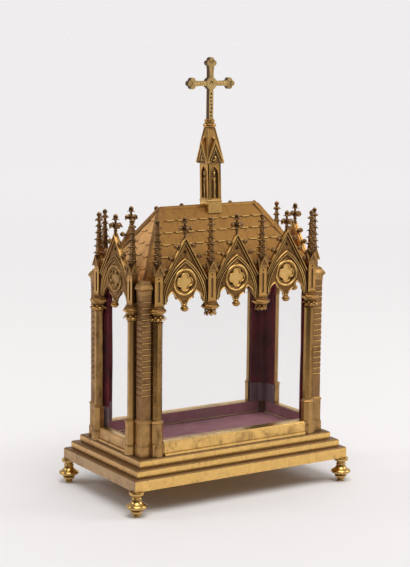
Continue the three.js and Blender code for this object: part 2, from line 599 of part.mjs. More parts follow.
function gableShape(half, carved) {
  const back = GABLE_PLATE_BACK;
  const front = -GABLE_PLATE_FRONT;
  const slope = (GABLE_APEX - GABLE_SHOULDER) / half;
  const along = 1 / Math.hypot(1, slope);
  const rise = slope * along;
  const wallEdge = [[half, GABLE_SHOULDER], [0, GABLE_APEX], [-half, GABLE_SHOULDER]];
  let whole = plate([...lowerEdge(half), ...wallEdge], back, front);

  const drop = COPING_WIDTH / along;
  const onSlope = (run, proud) => [run * along + proud * rise, GABLE_APEX - run * rise + proud * along];
  const edge = [[half, GABLE_SHOULDER - drop], [half, GABLE_SHOULDER]];
  for (let i = GABLE_CROCKETS - 1; i >= 0; i -= 1) {
    const run = GABLE_CROCKET_FIRST + i * GABLE_CROCKET_PITCH;
    edge.push(onSlope(run + GABLE_CROCKET_HALF, 0), onSlope(run + CROCKET_LEAN, GABLE_CROCKET_PROUD),
      onSlope(run - GABLE_CROCKET_HALF, 0));
  }
  edge.push(
    [FINIAL_STEM_HALF, GABLE_APEX - FINIAL_STEM_HALF * slope],
    [FINIAL_STEM_HALF, GABLE_FINIAL_ARM - FINIAL_ARM_HALF],
    [GABLE_FINIAL_REACH, GABLE_FINIAL_ARM], [FINIAL_STEM_HALF, GABLE_FINIAL_ARM + FINIAL_ARM_HALF],
    [GABLE_BUD_RADIUS, GABLE_FINIAL_TOP - FINIAL_BUD_HEIGHT], [0, GABLE_FINIAL_TOP],
  );
  const coping = plate([[0, GABLE_APEX - drop], ...edge, ...mirrored(edge).slice(1)], back, -COPING_FRONT);
  whole = join(whole, coping);

  const outer = pointedArch(half, ARCH_FOOT, ARCH_APEX, ARCH_SEGMENTS);
  const inner = pointedArch(half - ARCH_WIDTH, ARCH_FOOT, ARCH_APEX - ARCH_WIDTH / along, ARCH_SEGMENTS);
  const band = plate([...outer, ...mirrored(outer).slice(1), ...inner.map(([x, z]) => [-x, z]),
    ...inner.slice().reverse().slice(1)], front, -ARCH_FRONT);
  whole = join(whole, band);

  if (carved) {
    const ring = disc(0, ROUNDEL_HEIGHT, ROUNDEL_RADIUS, ROUNDEL_SEGMENTS);
    const bore = disc(0, ROUNDEL_HEIGHT, ROUNDEL_RADIUS - ROUNDEL_RING, ROUNDEL_SEGMENTS);
    const field = plate(bore, 0, -QUATREFOIL_FRONT);
    const foils = [0, 1, 2, 3].map((i) => {
      const x = QUATREFOIL_OFFSET * Math.cos(i * QUARTER);
      const z = QUATREFOIL_OFFSET * Math.sin(i * QUARTER);
      const lobe = disc(x, ROUNDEL_HEIGHT + z, QUATREFOIL_RADIUS, QUATREFOIL_SEGMENTS);
      return plate(lobe, front, -QUATREFOIL_FRONT - CUT_PAST);
    });
    const rim = cut(plate(ring, 0, -ROUNDEL_FRONT), plate(bore, front, -ROUNDEL_FRONT - CUT_PAST));
    whole = join(whole, rim, cut(field, ...foils));
  }

  const pendant = turned(risen(GABLE_FOOT - PENDANT_DROP, [
    [PENDANT_RADIUS, PENDANT_SWELL], [PENDANT_WAIST_RADIUS, PENDANT_WAIST],
    [PENDANT_NECK_RADIUS, PENDANT_NECK], [0, PENDANT_ROOT],
  ]).slice(0, -1), PENDANT_SIDES).translate([0, COLUMN_BACK_DEPTH - SIDE_GAP - PENDANT_RADIUS, 0]);
  return join(whole, pendant);
}

// Hipped roof shell in stepped courses under a ridge cap
const hipRect = (z, proud = 0) => around(
  RIDGE_HALF_LENGTH + (RIDGE_TOP - z) * HIP_SLOPE_X + proud,
  (RIDGE_TOP - z) * HIP_SLOPE_Y + proud,
);

const ridgeFoot = RIDGE_TOP - RIDGE_HALF_WIDTH / HIP_SLOPE_Y;

function roofShape() {
  const rise = (ridgeFoot - ROOF_FOOT) / TILE_ROWS;
  const cap = around(RIDGE_HALF_LENGTH + RIDGE_OVERHANG, RIDGE_HALF_WIDTH);
  let whole = block(cap, ridgeFoot - RIDGE_CAP_SINK, RIDGE_TOP);
  for (let i = 0; i < TILE_ROWS; i += 1) {
    const z0 = ROOF_FOOT + i * rise;
    const z1 = z0 + rise + (i === TILE_ROWS - 1 ? 0 : TILE_LAP);
    whole = join(whole, block(hipRect(z0, TILE_PROUD), z0, z1, hipRect(z1)));
  }
  const wall = ROOF_WALL / Math.sin(Math.atan(HIP_SLOPE_Y));
  const hollowTop = ridgeFoot - wall;
  const under = ROOF_FOOT - CUT_PAST;
  return cut(whole, block(hipRect(under + wall), under, hollowTop, hipRect(ridgeFoot)));
}

// Turret standing astride the ridge, hollow where the roof passes under it
function turretShape() {
  const body = block(around(TURRET_HALF_X, TURRET_HALF_Y), TURRET_FOOT, TURRET_EAVES);
  const proud = TILE_PROUD + SIDE_GAP;
  const under = TURRET_FOOT - CUT_PAST;
  const saddle = block(hipRect(under, proud), under, ridgeFoot, hipRect(ridgeFoot, proud));
  const ridge = around(RIDGE_HALF_LENGTH, RIDGE_HALF_WIDTH + proud);
  const ridgeRoom = block(ridge, ridgeFoot - JOIN_LAP, RIDGE_TOP + SIDE_GAP);
  const nicheTop = TURRET_NICHE_SPRING + TURRET_NICHE_RISE;
  const arch = pointedArch(TURRET_NICHE_HALF, TURRET_NICHE_SPRING, nicheTop, TURRET_NICHE_SEGMENTS);
  const niche = [[-TURRET_NICHE_HALF, TURRET_NICHE_FOOT], [TURRET_NICHE_HALF, TURRET_NICHE_FOOT],
    ...arch, ...mirrored(arch).slice(1)];
  const half = TURRET_GABLE_HALF;
  const apex = TURRET_GABLE_FOOT + TURRET_GABLE_HEIGHT;
  const gable = [[-half, TURRET_GABLE_FOOT], [half, TURRET_GABLE_FOOT], [0, apex]];
  const inset = half - TURRET_RAKE_WIDTH;
  const panelFoot = TURRET_GABLE_FOOT - JOIN_LAP;
  const panel = [[-inset, panelFoot], [inset, panelFoot], [0, apex - TURRET_RAKE_DROP]];
  let whole = cut(body, saddle, ridgeRoom);
  for (let i = 0; i < 4; i += 1) {
    const reach = i % 2 ? TURRET_HALF_X : TURRET_HALF_Y;
    const hollow = plate(niche, TURRET_NICHE_DEPTH - reach, -reach - CUT_PAST).rotate([0, 0, 90 * i]);
    whole = cut(whole, hollow);
  }
  for (let i = 0; i < 2; i += 1) {
    whole = join(whole, plate(gable, half, -half).rotate([0, 0, 90 * i]));
  }
  for (let i = 0; i < 4; i += 1) {
    whole = cut(whole, plate(panel, TURRET_PANEL_DEPTH - half, -half - CUT_PAST).rotate([0, 0, 90 * i]));
  }
  const spire = turned(risen(TURRET_SPIRE_FOOT, [
    [TURRET_SPIRE_HALF, 0], [TURRET_SPIRE_MID_HALF, TURRET_SPIRE_LOWER],
    [TURRET_SPIRE_TOP_HALF, TURRET_SPIRE_UPPER],
  ]), 4, Math.PI / 4);
  const round = COLLAR_ROUND;
  const flat = COLLAR_HEIGHT / 2 - 2 * round;
  const collar = turned(risen(COLLAR_FOOT - JOIN_LAP, [
    [COLLAR_NECK_RADIUS, 0], [COLLAR_RADIUS, JOIN_LAP + round], [COLLAR_RADIUS, flat],
    [COLLAR_NECK_RADIUS, round],
    [COLLAR_UPPER_RADIUS, round], [COLLAR_UPPER_RADIUS, flat], [COLLAR_NECK_RADIUS, round],
  ]), FOOT_SEGMENTS);
  return join(whole, spire, collar);
}

// Cross with trefoil ends
function crossShape() {
  const half = CROSS_BAR_HALF;
  const lobe = CROSS_LOBE_RADIUS;
  const deep = CROSS_DEPTH / 2;
  const reach = CROSS_ARM_REACH - lobe;
  const top = CROSS_TOP - lobe;
  const round = (x, z) => plate(disc(x, z, lobe, CROSS_LOBE_SEGMENTS, QUARTER), deep, -deep);
  const flare = lobe + CROSS_FLARE;
  const stemEnd = top - CROSS_STEM_END;
  const barEnd = reach - CROSS_BAR_END;
  const stem = plate([
    [-half, CROSS_FOOT], [half, CROSS_FOOT], [half, stemEnd - CROSS_FLARE_LENGTH], [flare, stemEnd],
    [-flare, stemEnd], [-half, stemEnd - CROSS_FLARE_LENGTH],
  ], deep, -deep);
  const bar = (side) => plate([
    [0, -half], [side * (barEnd - CROSS_FLARE_LENGTH), -half], [side * barEnd, -flare],
    [side * barEnd, flare], [side * (barEnd - CROSS_FLARE_LENGTH), half], [0, half],
  ].map(([x, z]) => [x, CROSS_ARM_HEIGHT + z]), deep, -deep);
  const boss = CROSS_BOSS_HALF;
  const plaque = block([-boss, boss, -CROSS_BOSS_DEPTH / 2, CROSS_BOSS_DEPTH / 2],
    CROSS_ARM_HEIGHT - boss, CROSS_ARM_HEIGHT + boss);
  const lobes = [round(0, top), round(-lobe, top - lobe), round(lobe, top - lobe)];
  for (const side of [-1, 1]) {
    lobes.push(round(side * reach, CROSS_ARM_HEIGHT), round(side * (reach - lobe), CROSS_ARM_HEIGHT + lobe),
      round(side * (reach - lobe), CROSS_ARM_HEIGHT - lobe));
  }
  return join(stem, bar(-1), bar(1), plaque, ...lobes);
}

// Sill rails: a long one stands between the front columns, its ends run on behind them
function sillRail(columnAt, endAt, outer, inner, behindColumn) {
  const mid = columnAt - PLINTH_RADIUS - SIDE_GAP;
  const fillet = -outer - SILL_FILLET;
  const edge = SILL_TOP - SILL_BEVEL;
  const face = join(
    block([-mid, mid, fillet, -inner], ON_BASE, ON_BASE + SILL_FILLET_HEIGHT),
    block([-mid, mid, -outer, -inner], ON_BASE, edge),
    block([-mid, mid, -outer, -inner], edge, SILL_TOP, [-mid, mid, SILL_BEVEL - outer, -inner]),
  );
  return join(face, block([-endAt, endAt, -behindColumn, -inner], ON_BASE, SILL_TOP));
}

function liningShape(sx, sy) {
  const x0 = BUTTRESS_INNER_X - SIDE_GAP - BUTTRESS_CAP_INNER_PROUD;
  const y0 = BUTTRESS_INNER_Y - SIDE_GAP - BUTTRESS_CAP_INNER_PROUD;
  const x1 = GLASS_SHORT_OUTER - GLASS_THICKNESS - SIDE_GAP;
  const y1 = GLASS_LONG_OUTER - GLASS_THICKNESS - SIDE_GAP;
  const t = LINING_THICKNESS;
  const longEnd = x0 - LINING_LONG_RUN;
  const shortEnd = y0 - LINING_SHORT_RUN;
  const outline = [
    [longEnd, y1], [longEnd, y1 - t], [x0 - t, y1 - t], [x0 - t, y0 - t], [x1 - t, y0 - t],
    [x1 - t, shortEnd], [x1, shortEnd], [x1, y0], [x0, y0], [x0, y1],
  ];
  const shape = new THREE.Shape(outline.map(([x, y]) => new THREE.Vector2(sx * x, sy * y)));
  const foot = SILL_TOP + SEAT_GAP;
  const geometry = new THREE.ExtrudeGeometry(shape, { depth: LINING_TOP - foot, bevelEnabled: false });
  geometry.translate(0, 0, foot);
  return solid(geometry);
}

// Placing the pieces
const reliquary = new THREE.Group();

function place(name, shape, material, x = 0, y = 0, turn = 0) {
  const mesh = new THREE.Mesh(shape.isBufferGeometry ? shape : geometryOf(shape), material);
  mesh.name = name;
  mesh.position.set(x, y, 0);
  mesh.rotation.z = turn;
  reliquary.add(mesh);
}

const ends = [['left', -1], ['right', 1]];
const faces = [['front', -1], ['back', 1]];

place('base', baseShape(), brass());
for (const [face, sy] of faces) {
  for (const [end, sx] of ends) {
    const x = sx * (BASE_HALF_X - FOOT_INSET);
    place(`foot_${face}_${end}`, footShape(), agedBrass(), x, sy * (BASE_HALF_Y - FOOT_INSET));
    place(`buttress_${face}_${end}`, buttressShape(sx, sy), brass());
    place(`lining_${face}_${end}`, liningShape(sx, sy), crimsonVelvet());
  }
}

const longEnd = BUTTRESS_INNER_X - SIDE_GAP;
const shortEnd = BUTTRESS_INNER_Y - SIDE_GAP;
const longRail = sillRail(COLUMN_FRONT_X, longEnd, SILL_LONG_OUTER, SILL_LONG_INNER, GLASS_LONG_OUTER);
const shortRail = sillRail(COLUMN_SIDE_Y, shortEnd, SILL_SHORT_OUTER, SILL_SHORT_INNER, GLASS_SHORT_OUTER);
const paneFoot = SILL_TOP + SEAT_GAP;
const pane = (half, outer) => block([-half, half, -outer, GLASS_THICKNESS - outer], paneFoot, GLASS_TOP);
const longPane = pane(BUTTRESS_INNER_X - SIDE_GAP - BUTTRESS_CAP_INNER_PROUD, GLASS_LONG_OUTER);
const shortPane = pane(BUTTRESS_INNER_Y - SIDE_GAP - BUTTRESS_CAP_INNER_PROUD, GLASS_SHORT_OUTER);
const longGable = gableShape(BAY_WIDTH / 2 - PINNACLE_HALF_WIDTH - SIDE_GAP, true);
const backGable = gableShape(BAY_WIDTH / 2 - PINNACLE_HALF_WIDTH - SIDE_GAP, false);
const shortGable = gableShape(COLUMN_SIDE_Y - PINNACLE_HALF_WIDTH - SIDE_GAP, true);
const standing = pinnacleShape(false);
const hanging = pinnacleShape(true);

faces.forEach(([face, sy]) => {
  const turn = sy < 0 ? 0 : Math.PI;
  const gable = sy < 0 ? longGable : backGable;
  place(`sill_${face}`, longRail, brass(), 0, 0, turn);
  place(`glass_${face}`, longPane, clearGlass(), 0, 0, turn);
  const y = sy * COLUMN_FRONT_Y;
  const clearX = BUTTRESS_INNER_X - COLUMN_FRONT_X;
  const clearY = COLUMN_FRONT_Y - BUTTRESS_CORNER_Y;
  for (const [end, sx] of ends) {
    const shape = columnShape(-sx * sy, clearX, clearY);
    place(`column_${face}_${end}`, shape, brass(), sx * COLUMN_FRONT_X, y, turn);
    place(`pinnacle_${face}_${end}`, standing, agedBrass(), sx * COLUMN_FRONT_X, y, turn);
    place(`hanging_pinnacle_${face}_${end}`, hanging, agedBrass(), (sx * BAY_WIDTH) / 2, y, turn);
    place(`gable_${face}_${end}`, gable, brass(), sx * BAY_WIDTH, y, turn);
  }
  place(`gable_${face}_middle`, gable, brass(), 0, y, turn);
});

ends.forEach(([end, sx]) => {
  const turn = sx * QUARTER;
  place(`sill_${end}`, shortRail, brass(), 0, 0, turn);
  place(`glass_${end}`, shortPane, clearGlass(), 0, 0, turn);
  const x = sx * COLUMN_SIDE_X;
  const clearX = BUTTRESS_INNER_Y - COLUMN_SIDE_Y;
  const clearY = COLUMN_SIDE_X - BUTTRESS_CORNER_X;
  for (const [face, sy] of faces) {
    const shape = columnShape(sx * sy, clearX, clearY);
    place(`column_${end}_${face}`, shape, brass(), x, sy * COLUMN_SIDE_Y, turn);
    place(`pinnacle_${end}_${face}`, standing, agedBrass(), x, sy * COLUMN_SIDE_Y, turn);
  }
  place(`gable_${end}`, shortGable, brass(), x, 0, turn);
});

const floorX = SILL_SHORT_INNER - FLOOR_PLAY;
const floorY = SILL_LONG_INNER - FLOOR_PLAY;
const corners = ends.flatMap(([, sx]) => faces.map(([, sy]) => block(
  buttressRect(sx, sy, 0, SIDE_GAP + BUTTRESS_CAP_INNER_PROUD), 0, SILL_TOP)));
const floorBoard = block(around(floorX, floorY), ON_BASE, ON_BASE + FLOOR_THICKNESS);
place('floor_lining', cut(floorBoard, ...corners), fadedVelvet());
place('roof', roofShape(), brass());
const lean = -TURRET_LEAN / (COLLAR_FOOT - TURRET_FOOT);
const leaning = new THREE.Matrix4().makeShear(0, 0, 0, 0, lean, 0);
leaning.setPosition(-lean * COLLAR_FOOT, 0, 0);
place('turret', geometryOf(turretShape()).applyMatrix4(leaning), brass());
place('cross', crossShape(), brass());

export default reliquary;
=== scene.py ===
import math
import random

import bmesh
import bpy
from bpy.props import FloatProperty, FloatVectorProperty, PointerProperty
from mathutils import Matrix, Vector
from mathutils.geometry import tessellate_polygon


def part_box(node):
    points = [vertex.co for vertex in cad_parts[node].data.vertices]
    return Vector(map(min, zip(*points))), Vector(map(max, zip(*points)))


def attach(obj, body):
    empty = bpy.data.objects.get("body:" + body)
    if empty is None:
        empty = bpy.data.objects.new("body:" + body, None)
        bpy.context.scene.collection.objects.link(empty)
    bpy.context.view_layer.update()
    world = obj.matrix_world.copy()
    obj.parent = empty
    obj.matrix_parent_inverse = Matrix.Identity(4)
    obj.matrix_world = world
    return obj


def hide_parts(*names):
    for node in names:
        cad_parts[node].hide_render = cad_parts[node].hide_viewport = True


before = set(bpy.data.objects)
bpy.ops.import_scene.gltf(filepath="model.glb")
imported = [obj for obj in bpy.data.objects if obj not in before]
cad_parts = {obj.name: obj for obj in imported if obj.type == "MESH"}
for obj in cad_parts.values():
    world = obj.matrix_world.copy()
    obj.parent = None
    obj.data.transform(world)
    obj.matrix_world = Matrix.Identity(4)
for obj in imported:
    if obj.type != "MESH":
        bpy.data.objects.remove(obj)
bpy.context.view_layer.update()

bl_info = {
    "name": "Chapel Reliquary",
    "version": (1, 0, 0),
    "blender": (4, 5, 0),
    "location": "3D View > Sidebar > Reliquary",
    "description": "Dresses a gilt-brass chapel-form reliquary round its packed frame",
    "category": "Add Mesh",
}

MM = 0.001
TAU = 2 * math.pi
QUARTER = math.pi / 2
ENDS = (("left", -1), ("right", 1))
FACES = (("front", -1), ("back", 1))
OUTWARD = {"front": (0, -1, 0), "back": (0, 1, 0), "left": (-1, 0, 0), "right": (1, 0, 0)}
CORNERS = [(face, end, sx, sy) for face, sy in FACES for end, sx in ENDS]
COLUMN_PLACES = [(face, end) for face, end, _, _ in CORNERS]
COLUMN_PLACES += [(end, face) for end, _ in ENDS for face, _ in FACES]

# How squarely a face has to look one way to count as facing it
FACING = 0.7
# A side taller than this gets a narrow band at both ends
TALL_FACE = 4
HELD_BAND = 0.5
# How far the flat back of a bead sinks into its ground
BEAD_ROOT = 0.6


def node_box(name):
    """Lowest and highest corner of a frame node in millimetres"""
    low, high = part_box(name)
    return low / MM, high / MM


# Levels and lines taken from the frame, in millimetres
GLASS_TO_LINE = 5.5
SLAB_HEIGHT = 15.8
LONG_LINE = -node_box("glass_front")[0].y + GLASS_TO_LINE
SHORT_LINE = node_box("glass_right")[1].x + GLASS_TO_LINE
SEAT = node_box("buttress_front_right")[0].z
SILL_TOP = node_box("sill_front")[1].z
BUTTRESS_TOP = node_box("buttress_front_right")[1].z
CAPITAL_TOP = node_box("column_front_right")[1].z
PINNACLE_TOP = node_box("pinnacle_front_right")[1].z
CORBEL_TIP = node_box("hanging_pinnacle_front_right")[0].z
GABLE_TIP, GABLE_TOP = node_box("gable_front_middle")[0].z, node_box("gable_front_middle")[1].z
LONG_HALF = node_box("gable_front_middle")[1].x
SHORT_HALF = node_box("gable_right")[1].y
BAY = node_box("gable_front_right")[1].x - LONG_HALF
ROOF_FOOT, RIDGE_TOP = node_box("roof")[0].z, node_box("roof")[1].z
COLLAR_TOP, CROSS_TOP = node_box("cross")[0].z, node_box("cross")[1].z
FOOT_TOP = node_box("foot_front_left")[1].z
SLAB_TOP = FOOT_TOP + SLAB_HEIGHT

# Columns and their heads
COLUMN_BACK = 5.2
COLUMN_SIDES = 8
PLINTH_TOP = 84
PEDESTAL_FOOT = 89
PEDESTAL_TOP = 116.6
RING_TOP = 121.4
CAPITAL_FOOT = 252.5
LONG_SHAFT_RADIUS = 7
END_SHAFT_RADIUS = 5.8
PLINTH_RADIUS = 9.3
PEDESTAL_RADIUS = 8.4
RING_RADIUS = 9.4
RETURN_HALF = 8.95
RETURN_FRONT = 6.3
ABACUS_RADIUS = 11.7
ABACUS_SEAT = 8.4
ABACUS_RIM = 2.3
ABACUS_WEATHER = 5.4
BELL_FOOT_RADIUS = 5.6
BELL_RADIUS = 8.4
LEAVES_ROUND = 8

# Buttresses
BUTTRESS_CORNER = (147.7, 70)
BUTTRESS_SIZE = 14.5
BUTTRESS_CAP_INNER = 1
BUTTRESS_CAP_LAP = 2
BUTTRESS_CAP_HEIGHT = 15
BUTTRESS_CAP_RISE = 3.4
COURSE_FIRST = 155
COURSE_PITCH = 7.9
COURSE_LAST = 284
COURSE_DEPTH = 0.55

# Pinnacles
SHAFT_HALF = 6
SHAFT_FRONT = 4.2
GABLET_FOOT = 316.5
GABLET_APEX = 331
GABLET_HALF = 8
GABLET_REACH = 7
SPIRE_SUNK = 8
SPIRE_CROWN = 12
SPIRE_FOOT_HALF = 4.0
SPIRE_TOP_HALF = 1.5
SPIRE_CROCKETS = 5
SPIRE_FIRST = 334
SPIRE_PITCH = 9.2

# Gables
GABLE_SHOULDER = 307
GABLE_APEX = 366
BOARD_BACK = 3.4
BOARD_FRONT = 0.5
COPING_WIDTH = 5.6
ARCH_FOOT = 276.6
ARCH_APEX = 338.5
ARCH_WIDTH = 5
ROUNDEL_HEIGHT = 304.6
ROUNDEL_RADIUS = 18.6
LOBE_OFFSET = 6.4
LOBE_RADIUS = 5.9
SPANDREL_REACH = 11.7
SPANDREL_SIZE = 2.3
FINIAL_ARM = 6.3
CROCKET_FIRST = 15
CROCKET_PITCH = 17.6
CROCKET_REACH = 5.2

# Roof
RIDGE_HALF = 77.8
RIDGE_HALF_WIDTH = 2.6
HIP_SLOPE_X = 0.65
HIP_SLOPE_Y = 0.6875
TILE_ROWS = 6
DASH_HALF = 5.6
ROOF_WALL = 4.6
SCALLOP_RISE = 3.4

# Turret
TURRET_HALF = 10.6
TURRET_FOOT = 385
TURRET_LEAN = 3.8
TURRET_GABLE_FOOT = 456
TURRET_GABLE_APEX = 488
TURRET_GABLE_HALF = 14.6
TURRET_WALL = 2.2
SPIRE_BREAK = 482
COLLAR_FOOT = 504.5
NICHE_FOOT = 407
NICHE_SPRING = 440
NICHE_TOP = 451
NICHE_HALF = 6

# Cross
ARM_HEIGHT = 564.3
ARM_REACH = 38
BAR_HALF = 3.4
BAR_DEEP = 3.7
BOSS_HALF = 7.4
BOSS_DEEP = 4.3
LOBE = 4
BOSS_NOTCH = 2.0
BEADS = (11.5, 16.5, 21.5, 26.5)
LAP = 0.2

# Lining
LINING_THICK = 1.8
LINING_GAP = 1.3
LINING_ROWS = 60
CORD_PITCH = 4.2


class Form:
    """Corners and faces of a piece in millimetres, each face with the number of its finish"""

    def __init__(self):
        self.corners = []
        self.faces = []
        self.finishes = []

    def add(self, corners, faces, finish=0):
        start = len(self.corners)
        self.corners.extend(Vector(c) for c in corners)
        self.faces.extend(tuple(start + i for i in face) for face in faces)
        self.finishes.extend([finish] * len(faces))

    def take(self, other, matrix=None):
        start = len(self.corners)
        placed = other.corners if matrix is None else [matrix @ c for c in other.corners]
        self.corners.extend(placed)
        self.faces.extend(tuple(start + i for i in face) for face in other.faces)
        self.finishes.extend(other.finishes)


def turn_about_z(angle):
    return Matrix.Rotation(angle, 4, "Z")


def polar(radius, angle):
    return radius * math.cos(angle), radius * math.sin(angle)


def towards(angle):
    return Vector((*polar(1, angle), 0))


def off(radius, level, *steps):
    """Points of a profile measured from a radius and a level"""
    return [(radius + out, level + up) for out, up in steps]


def loft(form, rings, finish=0, joined=False):
    """Skins rings of corners; joined closes the last ring on the first, a tuple of finishes goes by side"""
    by_side = isinstance(finish, tuple)
    count = len(rings[0])
    steps = len(rings) if joined else len(rings) - 1
    faces = []
    for i in range(steps):
        a = i * count
        b = (i + 1) % len(rings) * count
        for j in range(count):
            k = (j + 1) % count
            faces.append((a + j, a + k, b + k, b + j))
    if not joined:
        faces.append(tuple(reversed(range(count))))
        faces.append(tuple(range((len(rings) - 1) * count, len(rings) * count)))
    first = len(form.finishes)
    form.add([corner for ring in rings for corner in ring], faces, 0 if by_side else finish)
    if by_side:
        for i in range(steps * count):
            form.finishes[first + i] = finish[i % count]


def held(profile):
    """Adds a narrow band at both ends of a tall face, so that the face is shaded flat"""
    rings = []
    for (radius, z), (next_radius, next_z) in zip(profile, profile[1:]):
        rings.append((radius, z))
        length = next_z - z
        if length > TALL_FACE:
            for share in (HELD_BAND / length, 1 - HELD_BAND / length):
                rings.append((radius + (next_radius - radius) * share, z + length * share))
    return rings + [profile[-1]]


def faces_below(profile, sides, level):
    """How many side faces of a profile start below a level"""
    return sides * sum(1 for _, z in held(profile) if z < level)


def turned(form, profile, sides, turn=0.0, centre=(0, 0), finish=0):
    """A turned or faceted piece; with few sides the radius is that of its flats"""
    reach = 1 / math.cos(math.pi / sides) if sides <= COLUMN_SIDES else 1
    rings = []
    for radius, z in held(profile):
        ring = []
        for j in range(sides):
            angle = turn + TAU * j / sides
            ring.append((centre[0] + radius * reach * math.cos(angle),
                         centre[1] + radius * reach * math.sin(angle), z))
        rings.append(ring)
    loft(form, rings, finish)


def stacked(form, profile, rect, finish=0):
    """Courses of a square pier; rect gives [x0, x1, y0, y1] for how far a course stands out"""
    rings = []
    for proud, z in held(profile):
        x0, x1, y0, y1 = rect(proud)
        rings.append([(x0, y0, z), (x1, y0, z), (x1, y1, z), (x0, y1, z)])
    loft(form, rings, finish)


def swept(form, path, section, finish=0, joined=False):
    """A moulding run along a path in x and z; section holds (distance to the left, depth) pairs"""
    rings = []
    last = len(path) - 1
    for i, (x, z) in enumerate(path):
        normals = []
        if i > 0 or joined:
            px, pz = path[i - 1]
            length = math.hypot(x - px, z - pz) or 1
            normals.append(Vector((-(z - pz) / length, (x - px) / length)))
        if i < last or joined:
            qx, qz = path[(i + 1) % len(path)]
            length = math.hypot(qx - x, qz - z) or 1
            normals.append(Vector((-(qz - z) / length, (qx - x) / length)))
        mitre = sum(normals, Vector((0, 0))).normalized()
        mitre /= max(0.35, mitre.dot(normals[0]))
        rings.append([(x + side * mitre.x, y, z + side * mitre.y) for side, y in section])
    loft(form, rings, finish, joined)


def prism(form, outline, back, front, holes=(), finish=0, rim=None):
    """A flat plate drawn in x and z, pierced by holes; rim is the finish of its edges"""
    loops = [outline, *holes]
    flat = [point for loop in loops for point in loop]
    triangles = tessellate_polygon([[Vector((x, z, 0)) for x, z in loop] for loop in loops])
    count = len(flat)
    corners = [(x, back, z) for x, z in flat] + [(x, front, z) for x, z in flat]
    faces = [tuple(t) for t in triangles]
    faces += [tuple(count + i for i in reversed(t)) for t in triangles]
    start = 0
    for loop in loops:
        size = len(loop)
        for j in range(size):
            k = (j + 1) % size
            faces.append((start + j, start + k, count + start + k, count + start + j))
        start += size
    first = len(form.finishes)
    form.add(corners, faces, finish)
    if rim is not None:
        for i in range(first + 2 * len(triangles), len(form.finishes)):
            form.finishes[i] = rim


def knob(form, centre, size, finish=0, lobes=0, depth=0.0):
    """A rounded knob, lobed like a bud where lobes is set"""
    rows, columns = 8, 14
    rings = []
    for i in range(rows + 1):
        polar = math.pi * min(max(i / rows, 0.03), 0.97)
        ring = []
        for j in range(columns):
            angle = TAU * j / columns
            swell = 1 + depth * math.cos(lobes * angle) * math.sin(polar)
            ring.append((centre[0] + size[0] * swell * math.sin(polar) * math.cos(angle),
                         centre[1] + size[1] * swell * math.sin(polar) * math.sin(angle),
                         centre[2] - size[2] * math.cos(polar)))
        rings.append(ring)
    loft(form, rings, finish)


def curled_leaf(form, root, out, up, length, width, finish=1, curl=3.9, start=0.15, steps=10, sides=10):
    """A cast leaf that rises from its root and curls outwards and over"""
    out = Vector(out).normalized()
    up = Vector(up).normalized()
    across = out.cross(up).normalized()
    point = Vector(root)
    heading = start
    rings = []
    for i in range(steps + 1):
        t = i / steps
        swell = 0.45 + 0.75 * math.sin(math.pi * min(1.0, 0.08 + 0.8 * t))
        half = width * swell * (1 + 0.16 * math.cos(2.5 * TAU * t))
        thick = width * (0.5 - 0.2 * t)
        outward = out * math.cos(heading) - up * math.sin(heading)
        ring = []
        for j in range(sides):
            angle = TAU * j / sides
            groove = 1 - 0.45 * max(0.0, math.sin(angle)) ** 6
            ring.append(point + across * (half * math.cos(angle))
                        + outward * (thick * math.sin(angle) * groove))
        rings.append(ring)
        along = up * math.cos(heading) + out * math.sin(heading)
        point = point + along * (length / steps * (1.25 - 0.5 * t))
        heading += curl / steps * (0.5 + t)
    loft(form, rings, finish)


def arc(cx, cz, radius, start, end, steps):
    points = []
    for i in range(steps + 1):
        angle = start + (end - start) * i / steps
        points.append((cx + radius * math.cos(angle), cz + radius * math.sin(angle)))
    return points


def circle(cx, cz, radius, steps):
    return arc(cx, cz, radius, 0, TAU, steps)[:-1]


def rectangle(half, foot, top):
    return [(-half, foot), (half, foot), (half, top), (-half, top)]


def bowed(p, q, r, steps):
    """Points of a curve that leaves p for q and ends in r"""
    points = []
    for i in range(steps + 1):
        t = i / steps
        a, b, c = (1 - t) ** 2, 2 * t * (1 - t), t * t
        points.append((a * p[0] + b * q[0] + c * r[0], a * p[1] + b * q[1] + c * r[1]))
    return points


def mirrored(points):
    return [(-x, z) for x, z in reversed(points)]


def pointed_arch(half, foot, apex, steps):
    """Right half of a pointed arch, from its foot to the apex"""
    rise = apex - foot
    shift = (rise * rise - half * half) / (2 * half)
    radius = half + shift
    return arc(-shift, foot, radius, 0, math.acos(shift / radius), steps)


def whole_arch(half, foot, apex, steps):
    right = pointed_arch(half, foot, apex, steps)
    return right + mirrored(right)[1:]


def roll(width, height, base=0.0, steps=5):
    """Section of a rounded bead moulding"""
    points = [(width * math.cos(math.pi * i / steps), base - height * math.sin(math.pi * i / steps))
              for i in range(steps + 1)]
    return points + [(-width, base + BEAD_ROOT), (width, base + BEAD_ROOT)]


